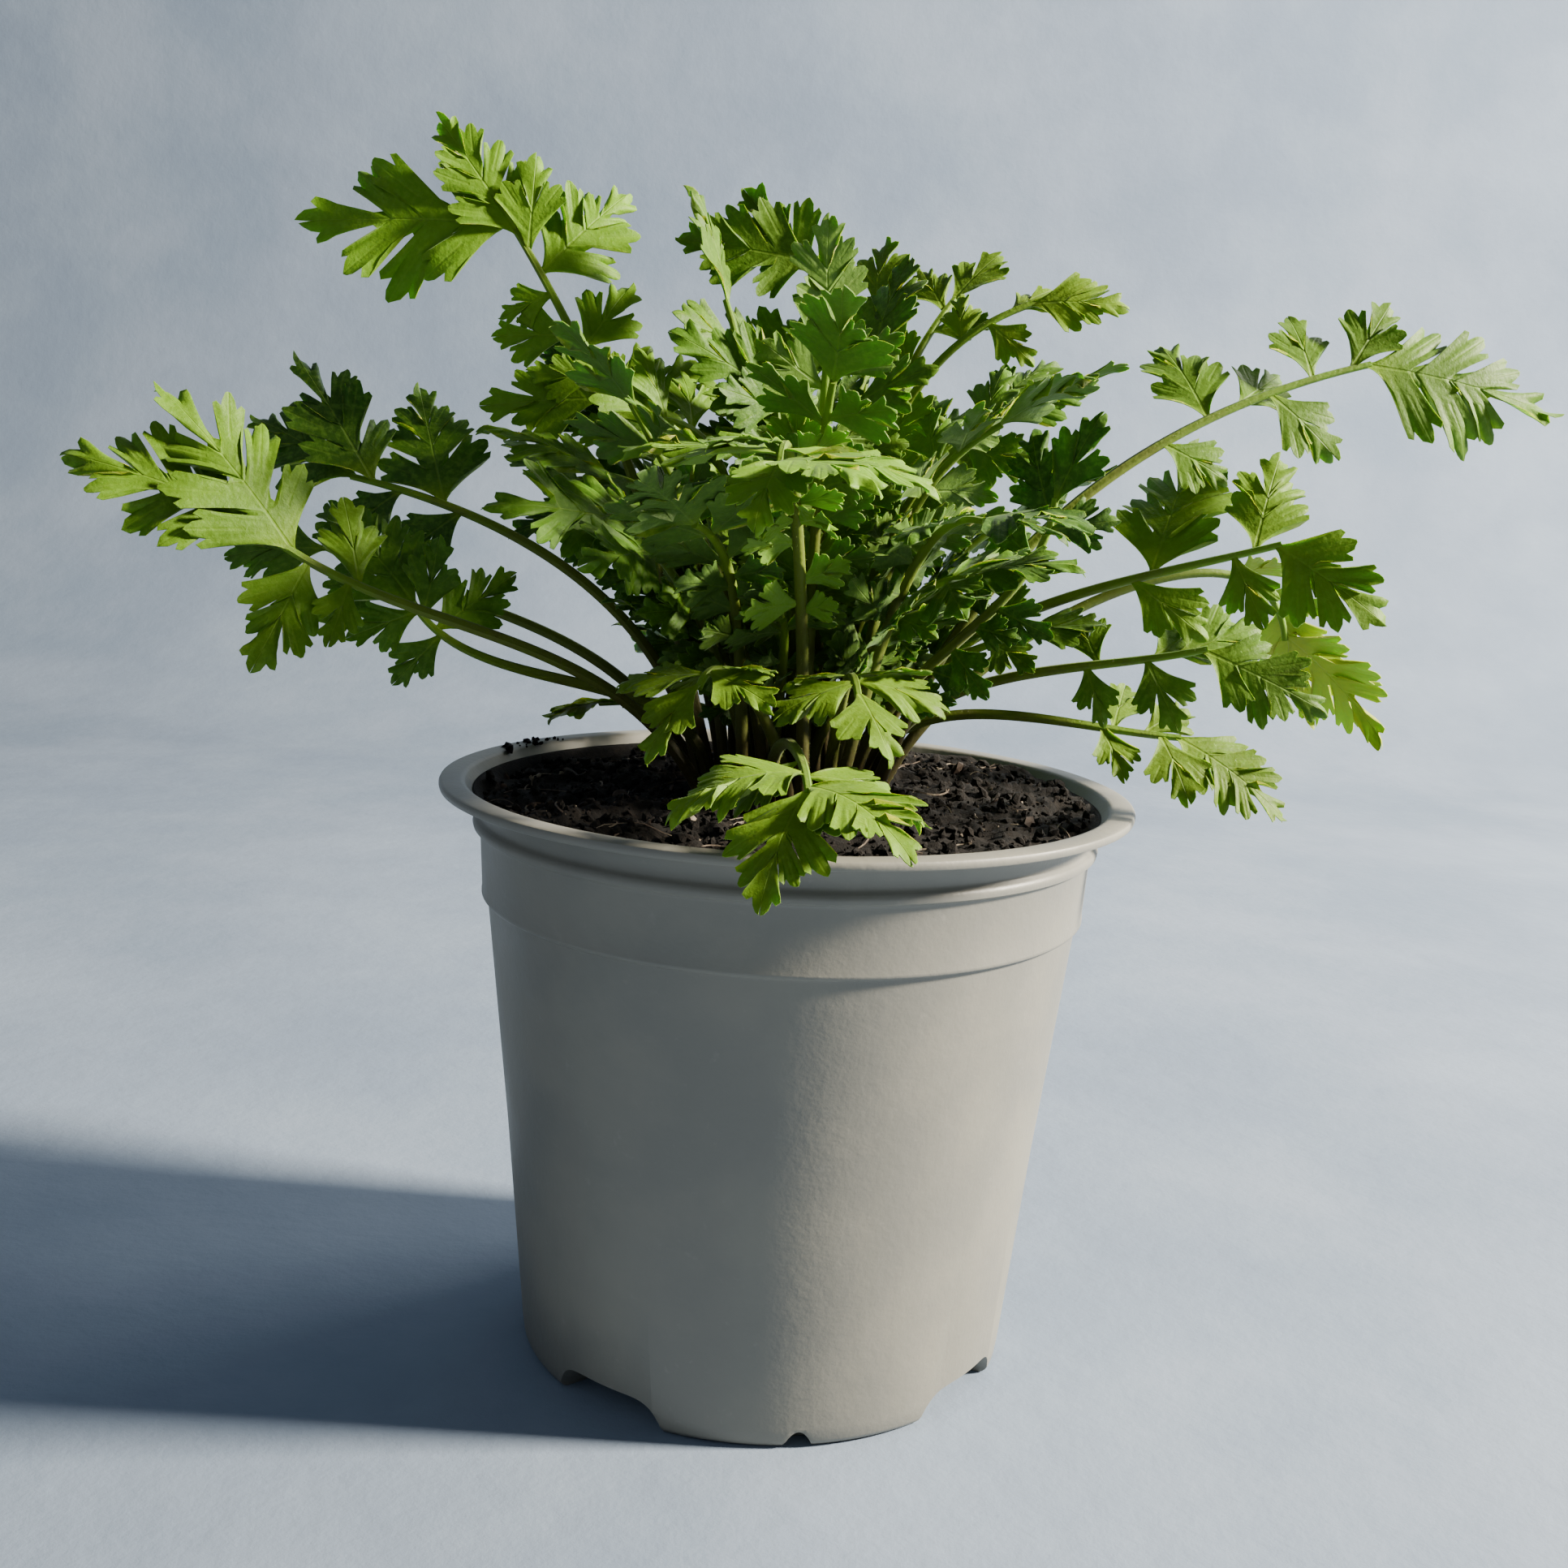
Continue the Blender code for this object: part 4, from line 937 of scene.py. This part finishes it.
def half_outline(plan, foot, draw):
    """Rays over one half of a leaflet: start on the midrib, end ahead and to the side, place
    across the lobe and the lobe's half width, all as shares of the length, and the lobe's bend."""
    lobes, (end_start, end_width), joined = plan
    lobes = [(
        start + draw.uniform(-0.015, 0.015), math.radians(angle + draw.uniform(-8, 8)),
        reach * draw.uniform(0.84, 1.1), width * draw.uniform(0.9, 1.08))
        for start, angle, reach, width in lobes]
    lobes.append((end_start, 0.0, 1.0 - end_start, end_width * draw.uniform(0.88, 1.1)))
    bends = draw.uniform(-0.20, 0.12, len(lobes))
    rays = [(0.0, 0.0, foot, 0.0, 1.0, 0.0)]
    before = 0.55 * lobes[0][0]
    for k, (start, angle, reach, width) in enumerate(lobes):
        last = k == len(lobes) - 1
        after = start + 0.8 * reach if last else (start + lobes[k + 1][0]) / 2
        outline = END_OUTLINE if last else LOBE_OUTLINE
        ends = []
        for along, across in outline:
            along = along * draw.uniform(0.97, 1.03) if along < 1 else 1.0
            ends.append((
                start + along * reach * math.cos(angle) + across * width * math.sin(angle),
                across * width if last else
                along * reach * math.sin(angle) - across * width * math.cos(angle), across))
        if k == 0 and not last:
            tooth = ends[3]
            for step in range(1, WEDGE_STEPS + 1):
                share = step / (WEDGE_STEPS + 1)
                rays.append((
                    before * share, tooth[0] * share, foot + (tooth[1] - foot) * share ** 1.6,
                    1.0, width, bends[0] * share))
            ends = ends[3:]
        for n, (ahead_share, side_share, across) in enumerate(ends):
            place = before + (after - before) * (n + 0.5) / len(ends)
            weight = 1 - 0.5 * min(1.0, abs(across)) ** 2
            rays.append((place, ahead_share, side_share, across, width, bends[k] * weight))
        if not last:
            angle_after, reach_after = lobes[k + 1][1:3]
            turn, depth = (angle + angle_after) / 2, joined * min(reach, reach_after)
            rays.append((
                after, after + depth * math.cos(turn), depth * math.sin(turn), 1.0, width, 0.0))
        before = after
    return np.array(rays)


def fine_leaflet(plan, pose, length, droop, draw, columns):
    """Points, faces and surface values of one leaflet, and its margins for the hairs."""
    foot = BASE_WIDTH / length
    halves = [half_outline(plan, foot, draw) for _ in range(2)]
    spread = np.sin(np.linspace(0, 1, columns) * math.pi / 2)
    across = np.concatenate((-spread[:0:-1], spread))
    far = np.abs(across)[None]
    left, right = halves[0][:, :, None], halves[1][:, :, None]
    start, ahead_end, side_end, over, width, bend = np.where(
        across[None, None] < 0, right, left).transpose(1, 0, 2)
    start = start.mean(axis=1, keepdims=True)
    forward = start + far * (ahead_end - start)
    aside = np.sign(across)[None] * far * side_end * length
    twist, fold = draw.uniform(*TWIST), draw.uniform(*FOLD)
    waves, phase = draw.uniform(*WAVES), draw.uniform(0, 2 * math.pi, 2)
    wave_start = np.where(across < 0, phase[1], phase[0])[None]
    cup = draw.uniform(*CUP)
    rise = fold * np.abs(aside) * np.exp(-np.abs(aside) / (0.2 * length))
    rise += twist * aside * forward
    wave = np.sin(2 * math.pi * waves * forward + wave_start)
    rise += WAVE_HEIGHT * length * wave * far ** 2 * np.minimum(1, np.abs(aside) / 3)
    rise += bend * far ** 2 * length * 0.5
    rise += cup * 0.5 * (np.minimum(np.abs(over), 1.2) ** 2 - 0.4) * far ** 2
    places, skins = arched(pose, length, droop, forward, aside)
    places = places + rise[..., None] * skins
    thick = (BLADE_THICK + (EDGE_THICK - BLADE_THICK) * far)[..., None]
    top, under = places + skins * thick / 2, places - skins * thick / 2
    rows, row_size = aside.shape
    index = np.arange(rows * row_size).reshape(rows, row_size)
    below = index + rows * row_size
    faces = np.vstack([corners.reshape(-1, 4) for corners in (
        np.stack((index[:-1, :-1], index[1:, :-1], index[1:, 1:], index[:-1, 1:]), -1),
        np.stack((below[:-1, :-1], below[:-1, 1:], below[1:, 1:], below[1:, :-1]), -1),
        np.stack((index[:-1, 0], below[:-1, 0], below[1:, 0], index[1:, 0]), -1),
        np.stack((index[:-1, -1], index[1:, -1], below[1:, -1], below[:-1, -1]), -1),
        np.stack((index[0, :-1], index[0, 1:], below[0, 1:], below[0, :-1]), -1),
        np.stack((index[-1, :-1], below[-1, :-1], below[-1, 1:], index[-1, 1:]), -1))])
    values = {
        "rib": np.abs(aside) / (1.15 - np.minimum(forward, 1.0)),
        "vein": np.abs(over) * width * length * far + 3.0 * (1 - np.minimum(1, far * 4)),
        "node": 1.0 - forward, "under": np.zeros_like(aside)}
    values = {key: np.concatenate((value.ravel(), value.ravel())) for key, value in values.items()}
    values["under"][rows * row_size:] = 1.0
    margins = [
        (places[:, n], places[:, n] - places[:, m], skins[:, n]) for n, m in ((0, 1), (-1, -2))]
    return np.vstack((top.reshape(-1, 3), under.reshape(-1, 3))), faces, values, margins


def hairs_on(line, outward, skins, draw, per_mm):
    """Short tapered hairs along a line: points and faces of all of them."""
    steps = np.linalg.norm(np.diff(line, axis=0), axis=1)
    count = int(steps.sum() * per_mm)
    if count < 1:
        return np.zeros((0, 3)), np.zeros((0, 3), int)
    marks = np.sort(draw.uniform(0, steps.sum(), count))
    step = np.minimum(np.searchsorted(np.cumsum(steps), marks), len(steps) - 1)
    share = (marks - (np.cumsum(steps) - steps)[step]) / np.maximum(steps[step], 1e-6)
    roots = line[step] + (line[step + 1] - line[step]) * share[:, None]
    out = outward[step]
    out = out / np.maximum(np.linalg.norm(out, axis=1), 1e-6)[:, None]
    way = out + draw.normal(0, 0.45, (count, 3)) + skins[step] * draw.uniform(-0.6, 0.6, (count, 1))
    way = way / np.linalg.norm(way, axis=1)[:, None]
    first = np.cross(way, skins[step])
    first = first / np.maximum(np.linalg.norm(first, axis=1), 1e-6)[:, None]
    second = np.cross(way, first)
    points = np.empty((count, 4, 3))
    for n in range(3):
        turn = 2 * math.pi * n / 3
        points[:, n] = roots + HAIR_RADIUS * (math.cos(turn) * first + math.sin(turn) * second)
    points[:, 3] = roots + way * draw.uniform(*HAIR_LENGTH, (count, 1))
    start = 4 * np.arange(count)[:, None]
    corners = np.array(((0, 1, 3), (1, 2, 3), (2, 0, 3), (2, 1, 0)))
    faces = np.concatenate([start + corner for corner in corners])
    return points.reshape(-1, 3), faces


def fine_stalk(name, leaf, draw):
    """Points, faces and surface values of a leaf's grooved stalk, and lines for its hairs."""
    shares = np.linspace(0, 1, STALK_RINGS)
    line = stalk_curve(feet[name], leaf, swings[name], shares)
    foot = np.array((line[0][0], line[0][1], SOIL_HEIGHT - STALK_ROOTED))
    line, shares = np.vstack((foot, line)), np.concatenate((STALK_TAPER[0][:1], shares))
    ahead = np.gradient(line, axis=0)
    radii = np.interp(shares, *STALK_TAPER)
    points, margins = [], []
    for k, centre in enumerate(line):
        left, face = leaf_frame(unit(ahead[k]), leaf[0], leaf[5])
        ring = []
        for n in range(STALK_CORNERS):
            turn = 2 * math.pi * n / STALK_CORNERS
            channel = 1 - CHANNEL_DEPTH * math.exp(-((turn - math.pi / 2) / CHANNEL_WIDTH) ** 2)
            flute = 1 + FLUTE_DEPTH * math.cos(FLUTES * turn)
            ring.append(centre + radii[k] * channel * flute * (
                math.cos(turn) * left + math.sin(turn) * face))
        points.append(ring)
    points = np.array(points)
    index = np.arange(len(line) * STALK_CORNERS).reshape(len(line), STALK_CORNERS)
    after = np.roll(index, -1, axis=1)
    faces = np.stack((index[:-1], after[:-1], after[1:], index[1:]), -1).reshape(-1, 4)
    for n in (0, 3, 6, 9):
        margins.append((points[2:, n], points[2:, n] - line[2:], ahead[2:] / np.linalg.norm(
            ahead[2:], axis=1)[:, None]))
    ends = [index[0][::-1], index[-1]]
    return points.reshape(-1, 3), faces, ends, np.repeat(shares, STALK_CORNERS), margins


leaf_tissue, shader, tree = new_material("leaf_tissue", (0.08, 0.21, 0.018), 0.56)
place = put(tree, "ShaderNodeTexCoord").outputs["Object"]
value = {
    name: put(tree, "ShaderNodeAttribute", attribute_name=name).outputs["Fac"]
    for name in ("rib", "vein", "node", "under", "tone", "yellow", "stalk", "hair")}
patch = ramp(tree, cloud(tree, place, 70.0, 5.0, 0.6), 0.3, 0.72)
speck = ramp(tree, cloud(tree, place, 800.0, 3.0, 0.65), 0.42, 0.68)
# the dark green that a low tone gives is partly painted shade, and the pale green that a high tone
# gives is partly painted light
dark = blend_colours(tree, patch, (0.013, 0.050, 0.0004), (0.029, 0.090, 0.001))
pale = blend_colours(tree, patch, (0.082, 0.205, 0.003), (0.130, 0.285, 0.006))
green = blend_colours(tree, value["tone"], dark, pale)
green = blend_colours(tree, value["yellow"], green, (0.38, 0.43, 0.002))
green = blend_colours(tree, times(tree, speck, 0.26), green, (0.17, 0.32, 0.035))
rib_line = ramp(tree, value["rib"], 0.42, 0.08)
vein_line = ramp(tree, value["vein"], 0.26, 0.04)
lines = put(tree, "ShaderNodeMath", {
    0: rib_line, 1: times(tree, vein_line, 0.5)}, operation="MAXIMUM").outputs[0]
green = blend_colours(tree, times(tree, lines, 0.18), green, (0.24, 0.38, 0.04))
near_node = ramp(tree, value["node"], 0.78, 1.0)
green = blend_colours(tree, times(tree, near_node, 0.35), green, (0.24, 0.38, 0.015))
green = blend_colours(tree, times(tree, value["under"], 0.30), green, (0.16, 0.27, 0.06))
# A stalk's foot is brown, and this dark brown is partly painted shade, darker than the stalk's own
# colour where the crown shades it; higher up it turns olive and then green.
stem = blend_colours(
    tree, ramp(tree, value["stalk"], 0.02, 0.45), (0.034, 0.028, 0.006), (0.105, 0.145, 0.013))
stem = blend_colours(tree, ramp(tree, value["stalk"], 0.5, 1.0), stem, (0.13, 0.25, 0.015))
streaks = ramp(tree, cloud(tree, place, 180.0, 2.0), 0.45, 0.7)
stem = blend_colours(tree, times(tree, streaks, 0.3), stem, (0.08, 0.050, 0.014))
on_stalk = put(tree, "ShaderNodeMath", {0: value["stalk"], 1: -0.5}, operation="GREATER_THAN")
base = blend_colours(tree, on_stalk.outputs[0], green, stem)
base = blend_colours(tree, times(tree, value["hair"], 0.35), base, (0.40, 0.50, 0.20))
tree.links.new(base, shader.inputs["Base Color"])
relief = put(tree, "ShaderNodeMath", {
    0: times(tree, lines, -0.7), 1: cloud(tree, place, 1000.0, 3.0, 0.6)}, operation="ADD")
bump = put(tree, "ShaderNodeBump", {
    "Height": relief.outputs[0], "Strength": 0.5, "Distance": 0.28 * MM})
tree.links.new(bump.outputs["Normal"], shader.inputs["Normal"])
shader.inputs["Subsurface Weight"].default_value = 0.35
shader.inputs["Subsurface Radius"].default_value = (0.9, 1.4, 0.25)
shader.inputs["Subsurface Scale"].default_value = 0.5 * MM
shader.inputs["Sheen Weight"].default_value = 0.05
shader.inputs["Sheen Roughness"].default_value = 0.4
shader.inputs["Sheen Tint"].default_value = (0.85, 0.95, 1.0, 1.0)
shader.inputs["Specular IOR Level"].default_value = 0.2

for number, (name, leaf) in enumerate(LEAVES.items()):
    draw = np.random.default_rng(500 + number)
    points, quads, ends, stalk_share, margins = fine_stalk(name, leaf, draw)
    all_points, all_faces = [points], quads.tolist() + [tuple(end) for end in ends]
    values = {key: [np.full(len(points), NO_VEIN if key in ("rib", "vein") else 0.0)]
              for key in ("rib", "vein", "node", "under", "tone", "hair")}
    values["stalk"] = [stalk_share]
    tone, yellow = LEAF_TONES_AND_SHADE.get(name) or RING_TONES_AND_SHADE[name.split("_")[0]]
    total = len(points)
    hair_lines = [(margin, STALK_HAIRS_PER_MM) for margin in margins]
    hair_values = {"hair": 1.0, "stalk": -1.0, "rib": NO_VEIN, "vein": NO_VEIN, "tone": tone}
    for share, (base, forward, side, normal), length, full, droop in leaflet_plans[name]:
        curve = stalk_curve(feet[name], leaf, swings[name], (share - 0.02, share))
        base = curve[1] - (END_SUNK * unit(curve[1] - curve[0]) if share == 1.0 else 0.0)
        kind = sum(full >= limit for limit in LEAFLET_LENGTHS)
        points, faces, surface, margins = fine_leaflet(
            LOBE_PLANS[kind], (base, forward, side, normal), length, droop, draw, 4 + kind // 2)
        all_points.append(points)
        all_faces += (faces + total).tolist()
        total += len(points)
        for key, value_here in surface.items():
            values[key].append(value_here)
        values["tone"].append(np.full(len(points), np.clip(tone + draw.normal(0, 0.08), 0, 1)))
        values["hair"].append(np.zeros(len(points)))
        values["stalk"].append(np.full(len(points), -1.0))
        hair_lines += [(margin, HAIRS_PER_MM) for margin in margins]
    for (line, outward, skins), per_mm in hair_lines:
        points, faces = hairs_on(line, outward, skins, draw, per_mm)
        all_points.append(points)
        all_faces += (faces + total).tolist()
        total += len(points)
        for key in values:
            values[key].append(np.full(len(points), hair_values.get(key, 0.0)))
    piece = mesh_piece("feverfew_" + name, np.vstack(all_points), all_faces, leaf_tissue)
    values["yellow"] = [np.full(total, yellow)]
    for key, parts in values.items():
        attribute = piece.data.attributes.new(key, "FLOAT", "POINT")
        attribute.data.foreach_set("value", np.concatenate(parts).astype(np.float32))
    piece.data.shade_smooth()
    piece.data.set_sharp_from_angle(angle=SHARP_EDGE)
    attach(piece, "root")
    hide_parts("leaf_" + name)

# Floor, backdrop and light
# A plain pale sweep of plastered board, which runs up behind the plant. A warm lamp stands level
# with the pot on its right, and a faint one behind it. A pale room and a cool lamp on the left
# fill the shade.

SWEEP_FRONT = -1.6
SWEEP_BACK = 0.62
SWEEP_BEND = 0.35
SWEEP_HALF = 2.2
SWEEP_HEIGHT = 1.9
SWEEP_STEPS = 16

bpy.ops.mesh.primitive_plane_add(size=1.0, location=(0, 0, 0))
sweep = bpy.context.object
sweep.name = "sweep"
bpy.ops.object.mode_set(mode="EDIT")
bpy.ops.mesh.select_all(action="DESELECT")
bpy.ops.object.mode_set(mode="OBJECT")
for vertex in sweep.data.vertices:
    vertex.co.x *= 2 * SWEEP_HALF
    vertex.co.y = SWEEP_FRONT if vertex.co.y < 0 else SWEEP_BACK
for edge in sweep.data.edges:
    edge.select = all(sweep.data.vertices[k].co.y > 0 for k in edge.vertices)
bpy.ops.object.mode_set(mode="EDIT")
for k in range(1, SWEEP_STEPS + 1):
    before, after = (math.radians(90 * n / SWEEP_STEPS) for n in (k - 1, k))
    bpy.ops.mesh.extrude_edges_move(TRANSFORM_OT_translate={"value": (
        0, SWEEP_BEND * (math.sin(after) - math.sin(before)),
        SWEEP_BEND * (math.cos(before) - math.cos(after)))})
bpy.ops.mesh.extrude_edges_move(
    TRANSFORM_OT_translate={"value": (0, 0, SWEEP_HEIGHT - SWEEP_BEND)})
bpy.ops.mesh.select_all(action="SELECT")
bpy.ops.mesh.normals_make_consistent(inside=False)
bpy.ops.object.mode_set(mode="OBJECT")
bpy.ops.object.shade_smooth()

plaster, shader, tree = new_material("pale_plaster", (0.19, 0.245, 0.33), 0.85)
place = put(tree, "ShaderNodeTexCoord").outputs["Object"]
base = blend_colours(
    tree, ramp(tree, cloud(tree, place, 9.0, 6.0, 0.6), 0.3, 0.75),
    (0.15, 0.20, 0.28), (0.21, 0.265, 0.35))
tree.links.new(base, shader.inputs["Base Color"])
bump = put(tree, "ShaderNodeBump", {
    "Height": cloud(tree, place, 90.0, 6.0, 0.65), "Strength": 0.25, "Distance": 2.0 * MM})
tree.links.new(bump.outputs["Normal"], shader.inputs["Normal"])
sweep.data.materials.append(plaster)

CROWN_FOOT = Vector((0.0, 0.0, 0.11))
ROOM_COLOUR = (0.62, 0.70, 0.82, 1.0)
ROOM_LIGHT = 0.17
# place, size, power and colour of each lamp, all of them aimed at the foot of the crown
LAMPS = {
    "sun_side": ((1.40, -0.06, 0.88), 0.22, 156.0, (1.0, 0.90, 0.74)),
    "sky_left": ((-1.0, -0.9, 1.0), 1.4, 3.0, (0.78, 0.87, 1.0)),
    "back_glow": ((0.75, 0.55, 0.75), 0.5, 8.0, (1.0, 0.96, 0.86)),
}
for name, (stand, size, power, colour) in LAMPS.items():
    bpy.ops.object.light_add(type="AREA", location=stand)
    lamp = bpy.context.object
    lamp.name = name
    lamp.data.size = size
    lamp.data.energy = power
    lamp.data.color = colour
    aim = CROWN_FOOT - Vector(stand)
    lamp.rotation_euler = aim.to_track_quat("-Z", "Y").to_euler()

room = bpy.data.worlds.new("room")
bpy.context.scene.world = room
room.use_nodes = True
background = room.node_tree.nodes["Background"]
background.inputs["Color"].default_value = ROOM_COLOUR
background.inputs["Strength"].default_value = ROOM_LIGHT
